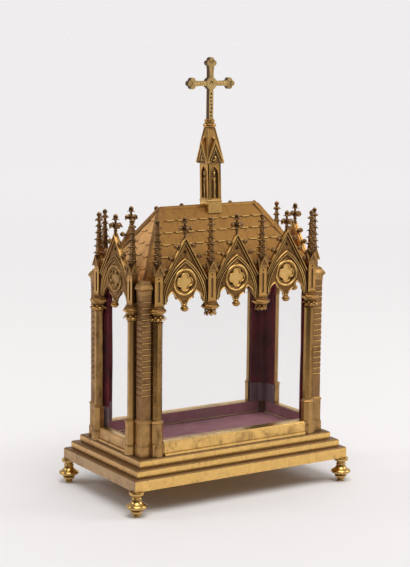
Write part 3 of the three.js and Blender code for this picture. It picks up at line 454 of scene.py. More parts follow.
def finished(name, form, finishes, nodes=(), matrix=None, bevel=0.0, sharp=35, stretch=None):
    """Makes the piece from its form, gives it its finishes and lets it ride on the reliquary"""
    mesh = bpy.data.meshes.new(name)
    corners = form.corners if matrix is None else [matrix @ c for c in form.corners]
    if stretch:
        corners = [stretch(c) for c in corners]
    mesh.from_pydata([tuple(c * MM) for c in corners], [], form.faces)
    for finish in finishes:
        mesh.materials.append(finish_named(finish))
    mesh.polygons.foreach_set("material_index", form.finishes)
    work = bmesh.new()
    work.from_mesh(mesh)
    bmesh.ops.remove_doubles(work, verts=work.verts, dist=1e-6)
    bmesh.ops.dissolve_degenerate(work, edges=work.edges, dist=1e-6)
    bmesh.ops.recalc_face_normals(work, faces=work.faces)
    work.to_mesh(mesh)
    work.free()
    mesh.shade_smooth()
    mesh.set_sharp_from_angle(angle=math.radians(sharp))
    piece = bpy.data.objects.new(name, mesh)
    bpy.context.scene.collection.objects.link(piece)
    if bevel:
        soften(piece, bevel)
    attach(piece, "root")
    if nodes:
        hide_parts(*nodes)
    return piece


def soften(piece, width):
    """Rounds the crisp edges of a piece by a little"""
    edge = piece.modifiers.new("worn_edges", "BEVEL")
    edge.width = width * MM
    edge.segments = 2
    edge.limit_method = "ANGLE"
    edge.angle_limit = math.radians(38)
    edge.harden_normals = True


def facade(face):
    """Where a side of the chapel stands: its line turned to face outwards"""
    x, y, turn = {
        "front": (0, -LONG_LINE, 0),
        "back": (0, LONG_LINE, math.pi),
        "left": (-SHORT_LINE, 0, -QUARTER),
        "right": (SHORT_LINE, 0, QUARTER),
    }[face]
    return Matrix.Translation((x, y, 0)) @ turn_about_z(turn)


def on_facade(face, along):
    """A place on a side of the chapel; along runs with the frame's own axis"""
    local = {"front": along, "back": -along, "left": -along, "right": along}[face]
    return facade(face) @ Matrix.Translation((local, 0, 0))


# Finishes

class Nodes:
    """Puts the nodes of a material or of the world together"""

    def __init__(self, owner):
        owner.use_nodes = True
        self.tree = owner.node_tree
        self.tree.nodes.clear()

    def make(self, kind, inputs=None, **settings):
        """A new node; each input takes a value or the output of another node"""
        node = self.tree.nodes.new(f"ShaderNode{kind}")
        for key, value in settings.items():
            setattr(node, key, value)
        for key, value in (inputs or {}).items():
            if isinstance(value, bpy.types.NodeSocket):
                self.tree.links.new(value, node.inputs[key])
            else:
                node.inputs[key].default_value = value
        return node

    def noise(self, place, scale, detail, roughness, distortion=0.0):
        return self.make("TexNoise", {"Vector": place, "Scale": scale, "Detail": detail,
                                      "Roughness": roughness, "Distortion": distortion}).outputs["Fac"]

    def ramp(self, value, low, high, dark=(0, 0, 0, 1), light=(1, 1, 1, 1)):
        node = self.make("ValToRGB", {"Fac": value})
        for i, position, shade in ((0, low, dark), (1, high, light)):
            node.color_ramp.elements[i].position = position
            node.color_ramp.elements[i].color = shade
        return node.outputs["Color"]

    def mixed(self, share, first, second):
        return self.make("Mix", {0: share, 6: first, 7: second}, data_type="RGBA").outputs[2]

    def clamped(self, operation, first, second):
        return self.make("Math", {0: first, 1: second}, operation=operation, use_clamp=True).outputs[0]

    def plus(self, first, second):
        return self.clamped("ADD", first, second)

    def times(self, first, second):
        return self.clamped("MULTIPLY", first, second)

    def summed(self, coarse, share, fine):
        """A height map: a share of the coarse noise on top of the fine one"""
        return self.make("Math", {0: coarse, 1: share, 2: fine}, operation="MULTIPLY_ADD").outputs[0]

    def spread(self, value, low, high):
        return self.make("MapRange", {"Value": value, "To Min": low, "To Max": high}).outputs[0]

    def drawn_out(self, place, scale):
        return self.make("Mapping", {"Vector": place, "Scale": scale}).outputs["Vector"]

    def bump(self, height, strength, distance):
        return self.make("Bump", {"Height": height, "Strength": strength, "Distance": distance}).outputs[0]

    def surface(self, kind, inputs, output="OutputMaterial"):
        self.make(output, {"Surface": self.make(kind, inputs).outputs[0]})


def brass(name, bright, tarnish, dirt_and_shade, worn, gloss, reach=3.0, hammer=0.15, hollow_shade=1.0):
    """Gilt brass: bright where rubbed, painted shade and patina in the hollows, stained in soft clouds"""
    material = bpy.data.materials.new(name)
    nodes = Nodes(material)
    noise, ramp, plus, times, mixed = nodes.noise, nodes.ramp, nodes.plus, nodes.times, nodes.mixed
    place = nodes.make("TexCoord").outputs["Object"]
    clouds = noise(place, 38, 5, 0.6, 0.6)
    streaks = noise(nodes.drawn_out(place, (1, 1, 0.25)), 170, 4, 0.6)
    mottle = noise(place, 110, 5, 0.65, 0.6)
    specks = noise(place, 420, 2, 0.5)
    waves = noise(place, 120, 2, 0.4)
    grains = noise(place, 900, 3, 0.6)

    # Painted shade: an occlusion test darkens the colour towards the dirt colour in hollows and between
    # parts, standing also for patina there
    hollow = nodes.make("AmbientOcclusion", {"Distance": reach * MM}, samples=6, only_local=False)
    shade = times(ramp(hollow.outputs["AO"], 0.25, 0.92, (1, 1, 1, 1), (0, 0, 0, 1)), hollow_shade)
    rubbed = ramp(nodes.make("NewGeometry").outputs["Pointiness"], 0.5, 0.6)

    stain = times(plus(ramp(clouds, 0.58 - 0.25 * worn, 0.80 - 0.2 * worn), 0.15),
                  plus(ramp(streaks, 0.52, 0.78), 0.55))
    stain = nodes.clamped("SUBTRACT", stain, times(rubbed, 0.5))
    stain = plus(stain, times(ramp(mottle, 0.44, 0.72), 0.36))
    colour = mixed(stain, bright, tarnish)
    colour = mixed(times(ramp(specks, 0.63, 0.72), 0.35), colour, dirt_and_shade)
    colour = mixed(shade, colour, dirt_and_shade)
    colour = mixed(times(rubbed, 0.35), colour, bright)
    nodes.surface("BsdfPrincipled", {
        "Base Color": colour,
        "Roughness": nodes.spread(plus(times(stain, 0.6), times(shade, 0.8)), gloss, gloss + 0.28),
        "Metallic": nodes.spread(times(shade, 0.9), 1.0, 0.45),
        "Normal": nodes.bump(nodes.summed(waves, hammer * 6, grains), 0.16, 0.0005)})
    return material


def velvet(name, pile, crushed, faded, sheen, weight):
    """Cut velvet: short pile, crushed patches and a soft sheen"""
    material = bpy.data.materials.new(name)
    nodes = Nodes(material)
    noise, ramp, times, mixed = nodes.noise, nodes.ramp, nodes.times, nodes.mixed
    place = nodes.make("TexCoord").outputs["Object"]
    patches = ramp(noise(place, 22, 4, 0.6, 0.8), 0.35, 0.7)
    worn = ramp(noise(place, 9, 3, 0.5), 0.45, 0.75)
    tufts = noise(place, 2400, 2, 0.6)
    nap = noise(nodes.drawn_out(place, (1.6, 1.6, 0.4)), 520, 3, 0.6)
    colour = mixed(patches, pile, crushed)
    colour = mixed(times(worn, 0.6), colour, faded)
    colour = mixed(times(ramp(nap, 0.45, 0.7), 0.35), colour, crushed)
    nodes.surface("BsdfPrincipled", {
        "Base Color": colour, "Normal": nodes.bump(nodes.summed(nap, 1.4, tufts), 0.5, 0.0004),
        "Roughness": 0.92, "Sheen Weight": weight, "Sheen Roughness": 0.45, "Sheen Tint": sheen})
    return material


def clear_glass(name):
    """Old sheet glass: clear, faintly green, with a little dust"""
    material = bpy.data.materials.new(name)
    nodes = Nodes(material)
    place = nodes.make("TexCoord").outputs["Object"]
    dust = nodes.ramp(nodes.noise(place, 60, 5, 0.65), 0.3, 0.8, (0.10, 0.12, 0.12, 1), (0.22, 0.25, 0.25, 1))
    nodes.surface("BsdfPrincipled", {
        "Base Color": dust, "Normal": nodes.bump(nodes.noise(place, 14, 2, 0.4), 0.05, 0.001),
        "Roughness": 0.03, "IOR": 1.5, "Alpha": 0.025})
    return material


def pale_ground(name, near, far):
    """Diffuse paper sheet, a little paler far from the piece"""
    material = bpy.data.materials.new(name)
    nodes = Nodes(material)
    away = nodes.make("VectorMath", {0: nodes.make("TexCoord").outputs["Object"]}, operation="LENGTH")
    share = nodes.make("MapRange", {"Value": away.outputs["Value"], "From Min": 0.5, "From Max": 4.0})
    nodes.surface("BsdfDiffuse", {"Color": nodes.ramp(share.outputs[0], 0.0, 1.0, near, far)})
    return material


def tint(name, description, default):
    return FloatVectorProperty(name=name, description=description, default=default, subtype="COLOR", size=3)


class GiltFinish(bpy.types.PropertyGroup):
    """Colours of the brass and how far it is worn"""
    bright: tint("Bright gilding", "Colour of rubbed gilt brass", (0.86, 0.54, 0.175))
    tarnish: tint("Tarnish", "Colour of the stained clouds", (0.30, 0.165, 0.065))
    # This colour serves the dirt specks and the painted shade in the hollows
    dirt_and_shade: tint("Dirt", "Colour of the patina in the hollows", (0.030, 0.014, 0.006))
    gloss: FloatProperty(name="Roughness", description="Roughness of the bright gilding",
                         default=0.27, min=0.05, max=1.0, subtype="FACTOR")
    edge_wear: FloatProperty(name="Edge wear", description="Rounding of the crisp edges, in millimetres",
                             default=0.35, min=0.0, max=1.0)


class VelvetFinish(bpy.types.PropertyGroup):
    """Colours of the lining and the cord"""
    crimson: tint("Crimson", "Colour of the velvet in the corners", (0.23, 0.017, 0.025))
    floor: tint("Floor", "Colour of the faded velvet floor", (0.50, 0.215, 0.250))
    cord_radius: FloatProperty(name="Cord radius", description="Radius of the cord's strands, in millimetres",
                               default=0.55, min=0.2, max=1.5)


class CastingSizes(bpy.types.PropertyGroup):
    """Sizes of the cast ornament, in millimetres"""
    crocket: FloatProperty(name="Crocket", description="Length of a crocket leaf on the gables",
                           default=9.5, min=4, max=16)
    capital_leaf: FloatProperty(name="Capital leaf", description="Length of a leaf on a capital",
                                default=10.5, min=4, max=16)
    tile_pitch: FloatProperty(name="Tile pitch", description="Width of a roof tile with its joint",
                              default=17.7, min=8, max=40)
    hip_width: FloatProperty(name="Hip strip", description="Width of each wing of a hip strip",
                             default=6.5, min=2, max=14)


class CameraPlace(bpy.types.PropertyGroup):
    """Where the camera stands"""
    azimuth: FloatProperty(name="Azimuth", description="Turn of the camera round the reliquary",
                           default=math.radians(-32.823), subtype="ANGLE")
    elevation: FloatProperty(name="Elevation", description="Height of the camera above the horizon",
                             default=math.radians(9.204), subtype="ANGLE")
    roll: FloatProperty(name="Roll", description="Tilt of the camera", default=math.radians(0.657),
                        subtype="ANGLE")
    distance: FloatProperty(name="Distance", description="From the aim point to the lens",
                            default=2.2483, unit="LENGTH")
    lens: FloatProperty(name="Lens", description="Focal length in millimetres", default=101.94)
    aim_height: FloatProperty(name="Aim height", description="Height of the aim point",
                              default=0.28587, unit="LENGTH")
    aim_side: FloatProperty(name="Aim side", description="Sideways place of the aim point",
                            default=-0.003843, unit="LENGTH")


# Brass finishes: rubbed colour, stained colour, wear, roughness, reach of the painted hollow shade in
# millimetres, and where they differ from plain brass, hammering and strength of the painted hollow shade;
# None takes the panel's value
BRASSES = {
    "gilt_plain": (None, None, 0.5, None, 1.6, 0.15, 0.9),
    "tread_grime": ((0.26, 0.150, 0.066), (0.10, 0.055, 0.028), 0.9, 0.5),
    # Painted shade: darker copies of the gilding for the faces of the base and sills that look to the ends
    "end_shade_gilt": ((0.52, 0.345, 0.185), (0.22, 0.14, 0.092), 0.8, 0.40, 1.8),
    "warm_gilt": ((0.70, 0.43, 0.185), (0.36, 0.20, 0.095), 0.8, 0.38, 1.8),
    # Darker brass: painted shade on the gables' field behind the mouldings, and the weathered tops of the
    # abaci
    "sunk_field": ((0.30, 0.155, 0.050), (0.13, 0.062, 0.022), 0.8, 0.38, 4.0),
    "end_shaft": ((0.50, 0.29, 0.105), (0.22, 0.118, 0.046), 0.8, 0.36, 2.2, 0.1),
    "hip_plate": ((0.95, 0.54, 0.215), (0.60, 0.33, 0.140), 0.75, 0.42, 2.6),
    "gilt_carved": ((0.60, 0.33, 0.102), (0.26, 0.128, 0.042), 0.65, 0.3, 4.5),
    "bright_relief": ((0.84, 0.53, 0.180), (0.48, 0.265, 0.085), 0.4, None, 1.2),
    "polished_shaft": ((0.34, 0.19, 0.062), (0.12, 0.062, 0.022), 0.7, 0.22, 3.0, 0.08),
    "coursed_pier": ((0.34, 0.185, 0.076), (0.17, 0.090, 0.043), 0.8, 0.38, 2.2, 0.4),
    "roof_plate": ((0.40, 0.203, 0.058), (0.16, 0.074, 0.031), 0.8, 0.36, 2.6, 0.5),
    "dark_casting": ((0.31, 0.170, 0.064), (0.080, 0.045, 0.024), 0.85, 0.28),
    "gilt_cross": ((1.0, 0.68, 0.27), (0.20, 0.105, 0.040), 0.65, 0.18, 2.2, 1.2),
    # Painted shade: near-black brass for the cross's edges and stem core and for the turret gables' faces and
    # hood undersides
    "painted_shade_casting": ((0.13, 0.072, 0.034), (0.050, 0.028, 0.016), 0.8, 0.36, 2.0),
    "turned_foot": ((0.66, 0.42, 0.14), (0.20, 0.11, 0.04), 0.4, 0.18, 3.0, 0.05),
    "gold_cord": ((0.80, 0.62, 0.36), (0.45, 0.30, 0.14), 0.3, 0.42, 0.8, 0.15, 0.5),
}

# Velvet finishes: pile, crushed pile, faded pile and sheen, then the weight of the sheen; a name takes the
# panel's colour
VELVETS = {
    "crimson_pile": ("crimson", (0.060, 0.005, 0.009), (0.24, 0.032, 0.040), (0.55, 0.16, 0.20), 0.06),
    # Painted reflection: greyish pile for the low part of the back linings, standing in for the front glass
    # reflecting the floor
    "reflection_grey_pile": ((0.27, 0.185, 0.205), (0.18, 0.125, 0.145), (0.33, 0.24, 0.26), (0.6, 0.5, 0.55), 0.1),
    "floor_pile": ("floor", (0.30, 0.120, 0.150), (0.42, 0.25, 0.26), (0.8, 0.55, 0.62), 0.25),
}


def colour(values):
    return (*values, 1.0)


def finish_named(name):
    """The finishes are made once and shared"""
    made = bpy.data.materials.get(name)
    if made:
        return made
    if name in BRASSES:
        gilt = bpy.context.scene.reliquary_gilt
        bright, tarnish, worn, gloss, *rest = BRASSES[name]
        return brass(name, colour(bright or gilt.bright), colour(tarnish or gilt.tarnish), colour(gilt.dirt_and_shade),
                     worn, gloss or gilt.gloss, *rest)
    if name in VELVETS:
        pile, *others, weight = VELVETS[name]
        if isinstance(pile, str):
            pile = getattr(bpy.context.scene.reliquary_velvet, pile)
        return velvet(name, colour(pile), *map(colour, others), weight)
    if name == "sheet_glass":
        return clear_glass(name)
    raise RuntimeError(f"no finish is named {name}")


def dress_node(name, finishes, bevel, choose=lambda normal, height: 0):
    """Gives a frame node its finishes, chosen by the way a face looks and its height, and worn edges"""
    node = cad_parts[name]
    node.data.materials.clear()
    for finish in finishes:
        node.data.materials.append(finish_named(finish))
    turn = node.matrix_world.to_3x3()
    for face in node.data.polygons:
        height = (node.matrix_world @ face.center).z / MM
        face.material_index = choose((turn @ face.normal).normalized(), height)
    if bevel:
        weld = node.modifiers.new("weld", "WELD")
        weld.merge_threshold = 1e-5
        soften(node, bevel)


class RELIQUARY_OT_base(bpy.types.Operator):
    """Dresses the stepped base and the sill rails"""
    bl_idname = "reliquary.base"
    bl_label = "Base and Sills"

    def execute(self, context):
        wear = context.scene.reliquary_gilt.edge_wear

        def end_or_side(normal):
            return 1 if abs(normal.x) > FACING else 0

        # Painted shade: faces that look to the ends take darker brass than the front and back, the slab's
        # ends the darkest
        def stepped(normal, height):
            if normal.z > FACING:
                return 2
            return 3 if end_or_side(normal) and height > SLAB_TOP else end_or_side(normal)

        dress_node("base", ["gilt_plain", "end_shade_gilt", "tread_grime", "warm_gilt"], wear, stepped)
        for side, outward in OUTWARD.items():
            def lined_inside(normal, height, outward=Vector(outward)):
                return 2 if normal.dot(outward) < -FACING else end_or_side(normal)

            # Painted shade: on the end sills the faces that look to the ends take the darker warm gilt
            ends = "bright_relief" if side in ("front", "back") else "warm_gilt"
            dress_node(f"sill_{side}", ["gilt_plain", ends, "floor_pile"], wear, lined_inside)
        return {"FINISHED"}


def foot_form():
    form = Form()
    turned(form, [
        (4.2, 0.0), (5.2, 0.4), (5.5, 1.4), (5.0, 2.6), (4.4, 3.6), (4.6, 4.6), (6.6, 5.2), (8.1, 6.2),
        (8.5, 7.6), (8.1, 9.0), (6.9, 9.9), (7.4, 10.6), (10.8, 11.3), (13.2, 12.4), (14.1, 13.8),
        (14.25, 14.8), (13.8, 15.9), (12.2, 17.1), (9.4, 18.6), (7.6, 20.4), (6.7, 22.4), (6.2, 24.0),
        (6.9, 24.5), (7.1, 25.3), (6.6, 26.0), (5.9, 26.8), (5.9, 28.2), (6.9, 29.2), (9.2, 29.9),
        (10.0, 30.6), (10.2, 31.6), (10.2, FOOT_TOP - 0.6), (9.8, FOOT_TOP),
    ], 48)
    return form


class RELIQUARY_OT_feet(bpy.types.Operator):
    """Turns the four feet"""
    bl_idname = "reliquary.feet"
    bl_label = "Feet"

    def execute(self, context):
        for face, end, _, _ in CORNERS:
            node = f"foot_{face}_{end}"
            low, high = node_box(node)
            centre = (low + high) / 2
            finished(f"turned_{node}", foot_form(), ["turned_foot"], [node],
                     Matrix.Translation((centre.x, centre.y, 0)), sharp=50)
        return {"FINISHED"}


def buttress_form(sx, sy):
    """Square pier: plinth, pedestal, ledge, coursed shaft and moulded cap"""
    form = Form()
    cx, cy = BUTTRESS_CORNER
    top = BUTTRESS_TOP

    def spanned(near, far):
        return (*sorted((sx * (cx + near), sx * (cx + far))), *sorted((sy * (cy + near), sy * (cy + far))))

    def rect(proud):
        return spanned(-BUTTRESS_SIZE, proud)

    profile = [(2.0, SEAT), *off(0, PLINTH_TOP, (2.0, 0), (1.9, 0.8), (1.4, 2.2), (1.05, 4)),
               (1.0, PEDESTAL_FOOT), *off(0, PEDESTAL_TOP, (1.0, -0.6), (1.7, 0.4), (1.9, 1.6), (1.5, 2.6)),
               (0.5, RING_TOP - 1), (0, RING_TOP + 0.4)]
    count = int((COURSE_LAST - COURSE_FIRST) / COURSE_PITCH) + 1
    courses = [COURSE_FIRST + i * COURSE_PITCH for i in range(count)]
    for z in courses:
        profile += off(0, z, (0, -1.6), (-COURSE_DEPTH, -0.9), (-COURSE_DEPTH, 0.9), (0, 1.6))
    profile += off(0, top, (0.1, -BUTTRESS_CAP_HEIGHT), (0.6, -14.4), (0.6, -13.4), (0.2, -12.9),
                   (0.5, -10.4), (1.4, -8.2), (2.6, -6.9), (3.0, -6.4), (3.0, -4.8), (2.6, -4.4),
                   (0.9, -1.2), (0.2, -0.1))
    stacked(form, profile, rect)
    stacked(form, off(0, top, (-0.8, -1.2), (-1.0, 2.2), (-3.0, BUTTRESS_CAP_RISE)), rect, 1)
    foot_faces = faces_below(profile, 4, RING_TOP)
    form.finishes[:foot_faces] = [2] * foot_faces
    cap_face = faces_below(profile, 4, top - BUTTRESS_CAP_HEIGHT)
    form.finishes[cap_face:] = [2] * (len(form.finishes) - cap_face)
    # Painted highlight: the course ribs take the bright relief on the faces looking to the front and back,
    # the pier's brass on those looking to the ends
    for z in courses:
        stacked(form, off(0, z, (-COURSE_DEPTH - 0.3, -0.75), (0.12, -0.45), (0.12, 0.45),
                          (-COURSE_DEPTH - 0.3, 0.75)), rect, (1, 0, 1, 0))
    inner = spanned(-BUTTRESS_SIZE - BUTTRESS_CAP_INNER, -BUTTRESS_SIZE + BUTTRESS_CAP_LAP)
    stacked(form, off(0, top, (0, -6.4), (0, -4.6)), lambda _: inner)
    return form


class RELIQUARY_OT_buttresses(bpy.types.Operator):
    """Raises the four corner buttresses"""
    bl_idname = "reliquary.buttresses"
    bl_label = "Buttresses"

    def execute(self, context):
        wear = context.scene.reliquary_gilt.edge_wear
        for face, end, sx, sy in CORNERS:
            finished(f"coursed_buttress_{face}_{end}", buttress_form(sx, sy),
                     ["coursed_pier", "bright_relief", "end_shaft"], [f"buttress_{face}_{end}"],
                     bevel=0.5 * wear)
        return {"FINISHED"}


def abacus(form, finish, weathering):
    """Octagonal slab with a weathered top"""
    rim = CAPITAL_TOP - ABACUS_WEATHER
    foot = rim - ABACUS_RIM
    half_turn = math.pi / COLUMN_SIDES
    turned(form, [
        *off(BELL_RADIUS, foot, (-0.8, -2.4), (0.4, -2.0), (0.4, -1.3), (-0.2, -0.9)),
        *off(ABACUS_RADIUS, foot, (-0.8, -0.5), (-0.6, 0.2), (0, 0.5)),
        *off(ABACUS_RADIUS, rim, (0, -0.2), (-0.5, 0.2)),
    ], COLUMN_SIDES, half_turn, finish=finish)
    turned(form, [
        (ABACUS_RADIUS - 0.7, rim), *off(ABACUS_SEAT, rim, (1.7, 1.8), (0.9, 2.3)),
        *off(ABACUS_SEAT, CAPITAL_TOP, (0.9, -1.8), (0, -1.2), (0, 0)),
    ], COLUMN_SIDES, half_turn, finish=weathering)


def capital_leaves(form, foot, radius, length, width, rng, offset=0.0, start=0.1, finish=1):
    for i in range(LEAVES_ROUND):
        out = towards(TAU * (i + offset) / LEAVES_ROUND)
        curled_leaf(form, out * radius + Vector((0, 0, foot)), out, (0, 0, 1),
                    length * rng.uniform(0.94, 1.06), width * rng.uniform(0.92, 1.08), finish, start=start)


def flat_behind(form, depth=COLUMN_BACK):
    """Cuts a form off flat at its back"""
    for corner in form.corners:
        corner.y = min(corner.y, depth)


def column_form(rng, shaft_radius):
    form = Form()
    profile = [
        (PLINTH_RADIUS, SEAT), *off(PLINTH_RADIUS, PLINTH_TOP, (0, -0.4), (-0.3, 0.3)),
        *off(PEDESTAL_RADIUS, PLINTH_TOP, (0.3, 0.9), (0, 1.6)),
        *off(PEDESTAL_RADIUS, PEDESTAL_TOP, (0, -0.8), (0.4, -0.2)),
        *off(RING_RADIUS, PEDESTAL_TOP, (-0.2, 0.5), (0, 1.3), (-0.3, 2.0)),
        *off(shaft_radius, PEDESTAL_TOP, (0.8, 2.9), (0.5, 3.6)),
        *off(shaft_radius, RING_TOP, (0.2, -0.4), (0, 0)),
        *off(shaft_radius, CAPITAL_FOOT, (0, -0.6), (0.5, -0.3), (1.0, 0.4), (1.0, 1.0), (0.2, 1.7)),
        *off(BELL_FOOT_RADIUS, CAPITAL_FOOT, (0, 2.2), (0.4, 6), (1.4, 10)), (BELL_RADIUS, CAPITAL_FOOT + 13),
    ]
    turned(form, profile, COLUMN_SIDES, math.pi / COLUMN_SIDES)
    foot_faces = faces_below(profile, COLUMN_SIDES, RING_TOP)
    form.finishes[:foot_faces] = [3] * foot_faces
    if shaft_radius == LONG_SHAFT_RADIUS:
        square = (-RETURN_HALF, RETURN_HALF, -RETURN_FRONT, COLUMN_BACK - 0.2)
        stacked(form, [(0, SEAT), (0, SILL_TOP - 1)], lambda _: square, 3)
    abacus(form, 1, 2)
    length = bpy.context.scene.reliquary_sizes.capital_leaf
    capital_leaves(form, CAPITAL_FOOT + 2.2, BELL_FOOT_RADIUS + 0.4, length, 1.9, rng, 0.5)
    capital_leaves(form, CAPITAL_FOOT + 6.4, BELL_FOOT_RADIUS + 0.9, 0.62 * length, 1.5, rng)
    flat_behind(form)
    return form


class RELIQUARY_OT_columns(bpy.types.Operator):
    """Casts the eight columns with their leafy capitals"""
    bl_idname = "reliquary.columns"
    bl_label = "Columns"

    def execute(self, context):
        rng = random.Random(11)
        wear = context.scene.reliquary_gilt.edge_wear
        for side, where in COLUMN_PLACES:
            node = f"column_{side}_{where}"
            shaft, radius = "end_shaft", END_SHAFT_RADIUS
            if side in ("front", "back"):
                shaft, radius = "polished_shaft", LONG_SHAFT_RADIUS
            finished(f"cast_{node}", column_form(rng, radius),
                     [shaft, "gilt_carved", "sunk_field", "end_shaft"], [node],
                     on_facade(side, pinnacle_place(side, where)), bevel=0.6 * wear)
        return {"FINISHED"}


def pinnacle_place(side, where, prefix="pinnacle"):
    """Distance of a pinnacle along its side of the chapel"""
    low, high = node_box(f"{prefix}_{side}_{where}")
    axis = 0 if side in ("front", "back") else 1
    return (low[axis] + high[axis]) / 2


def gablet(form, half, foot, apex, reach):
    """Small moulded gable with a sunk triangle"""
    inset = 2.3
    slope = (apex - foot) / half
    inner_half = half - inset - 0.8
    inner = [(-inner_half, foot + 1.6), (inner_half, foot + 1.6), (0, foot + 1.6 + inner_half * slope)]
    outline = [(-half, foot), (half, foot), (0, apex)]
    prism(form, outline, 0, -reach + 1.1, finish=1)
    prism(form, outline, -reach + 1.2, -reach + 0.5, [inner])
    swept(form, [(-half, foot), (0, apex), (half, foot)],
          off(0, -reach, (0.1, 1.4), (0.1, 0.2), (-0.4, 0), (-1.0, 0.1), (-1.3, 0.5), (-1.9, 0.4),
              (-2.2, 0.9), (-2.2, 1.4)), (1, 0, 0, 1, 0, 1, 1, 1))


def leafy_ring(form, z, half, length, width, rng, turn=0.0, count=4):
    for i in range(count):
        out = towards(turn + TAU * i / count)
        curled_leaf(form, out * half + Vector((0, 0, z)), out, (0, 0, 1), length * rng.uniform(0.9, 1.1),
                    width * rng.uniform(0.9, 1.12), start=0.5, curl=3.4, steps=8, sides=8)


def pinnacle_form(rng, hanging):
    form = Form()
    back = COLUMN_BACK - 0.3
    half = SHAFT_HALF
    front = -SHAFT_FRONT
    groove = 1.9
    groove_foot, groove_top = CAPITAL_TOP + 6, GABLET_FOOT - 8
    sunk = [(groove, groove_foot), *pointed_arch(groove, groove_top - 3, groove_top, 4)]
    sunk += mirrored(sunk)[1:]
    panel = rectangle(half, CAPITAL_TOP, GABLET_FOOT + 3)
    prism(form, panel, back, front + 1, finish=1)
    prism(form, panel, front + 1.1, front, [sunk, circle(0, groove_top + 3.4, 1.2, 10)], rim=1)
    stacked(form, off(0, CAPITAL_TOP, (0.9, 0), (0.9, 2.2), (0.2, 3.4)),
            lambda p: (-half - p, half + p, front - p, back))
    gablet(form, GABLET_HALF, GABLET_FOOT, GABLET_APEX, GABLET_REACH)
    middle = (back - GABLET_REACH) / 2
    side_half = (back + GABLET_REACH) / 2
    for turn, width, reach, shift in ((QUARTER, side_half, GABLET_HALF, middle),
                                      (-QUARTER, side_half, GABLET_HALF, middle),
                                      (math.pi, GABLET_HALF, back, 0)):
        side = Form()
        gablet(side, width, GABLET_FOOT, GABLET_APEX, reach)
        form.take(side, Matrix.Translation((0, shift, 0)) @ turn_about_z(turn))
    foot, crown = GABLET_FOOT + SPIRE_SUNK, PINNACLE_TOP - SPIRE_CROWN
    turned(form, [(SPIRE_FOOT_HALF, foot),
                  *off(SPIRE_TOP_HALF, crown, (0, 0), (0.8, 0.6), (0.8, 1.6), (-0.2, 2.2)),
                  (SPIRE_TOP_HALF - 0.3, PINNACLE_TOP - 5)], 4, QUARTER / 2, finish=1)
    for i in range(SPIRE_CROCKETS):
        share = i / SPIRE_CROCKETS
        z = SPIRE_FIRST + i * SPIRE_PITCH
        at = SPIRE_FOOT_HALF + (SPIRE_TOP_HALF - SPIRE_FOOT_HALF) * (z - foot) / (crown - foot)
        leafy_ring(form, z - 2, at * 1.15, 4.6 - 0.7 * share, 1.9 - 0.3 * share, rng, QUARTER / 2)
        knob(form, (0, 0, z + 1), (at + 2.0, at + 2.0, 2.0), 1, 4, 0.22)
    leafy_ring(form, PINNACLE_TOP - 12.5, 1.0, 6.4, 1.8, rng)
    knob(form, (0, 0, PINNACLE_TOP - 10.4), (4.3, 4.3, 3.0), 1, 4, 0.2)
    knob(form, (0, 0, PINNACLE_TOP - 3.8), (3.4, 3.4, 3.8), 1, 4, 0.16)
    if hanging:
        abacus(form, 0, 2)
        turned(form, off(0, CORBEL_TIP, (0.7, 0), (1.9, 0.7), (2.4, 2.0), (1.9, 3.3), (1.3, 4.0), (2.2, 4.9),
                         (4.6, 7.2), (BELL_RADIUS - 0.4, 10.2)), 16)
        capital_leaves(form, CORBEL_TIP + 2.8, 2.0, 9.0, 1.9, rng, 0.5, 0.95, 0)
        capital_leaves(form, CORBEL_TIP + 6.6, 4.0, 5.6, 1.6, rng, start=0.9, finish=0)
    flat_behind(form, back)
    return form


class RELIQUARY_OT_pinnacles(bpy.types.Operator):
    """Casts the standing and the hanging pinnacles"""
    bl_idname = "reliquary.pinnacles"
    bl_label = "Pinnacles"

    def execute(self, context):
        rng = random.Random(23)
        places = [("pinnacle", *place) for place in COLUMN_PLACES]
        places += [("hanging_pinnacle", face, end) for face, end, _, _ in CORNERS]
        for kind, side, where in places:
            node = f"{kind}_{side}_{where}"
            lean = Vector((rng.uniform(-0.008, 0.008), rng.uniform(-0.006, 0.006)))

            def stretch(corner, lean=lean):
                rise = max(0.0, corner.z - GABLET_FOOT)
                return Vector((corner.x + lean.x * rise, corner.y + lean.y * rise, corner.z))

            finished(f"cast_{node}", pinnacle_form(rng, kind != "pinnacle"),
                     ["gilt_carved", "dark_casting", "sunk_field"], [node],
                     on_facade(side, pinnacle_place(side, where, kind)), bevel=0.18, stretch=stretch)
        return {"FINISHED"}


def lower_edge(half):
    """Right half of a gable's cusped lower edge, from the pendant to the foot"""
    points = bowed((2.6, 272.0), (3.2, 279.5), (13.2, 284.0), 6)
    points += bowed((13.2, 284.0), (14.6, 289.5), (19.0, 292.4), 4)[1:]
    points += bowed((19.0, 292.4), (27.5, 289.0), (half - 3.2, 275.4), 7)[1:]
    points.append((half, 275.4))
    return points


def quatrefoil(offset, radius, steps):
    """Outline of four joined lobes round the roundel's middle"""
    meet = (offset + math.sqrt(2 * radius * radius - offset * offset)) / 2
    spread = math.atan2(meet, meet - offset)
    points = []
    for i in range(4):
        angle = i * QUARTER
        cx, cz = offset * math.cos(angle), offset * math.sin(angle)
        points += arc(cx, ROUNDEL_HEIGHT + cz, radius, angle - spread, angle + spread, steps)[:-1]
    return points


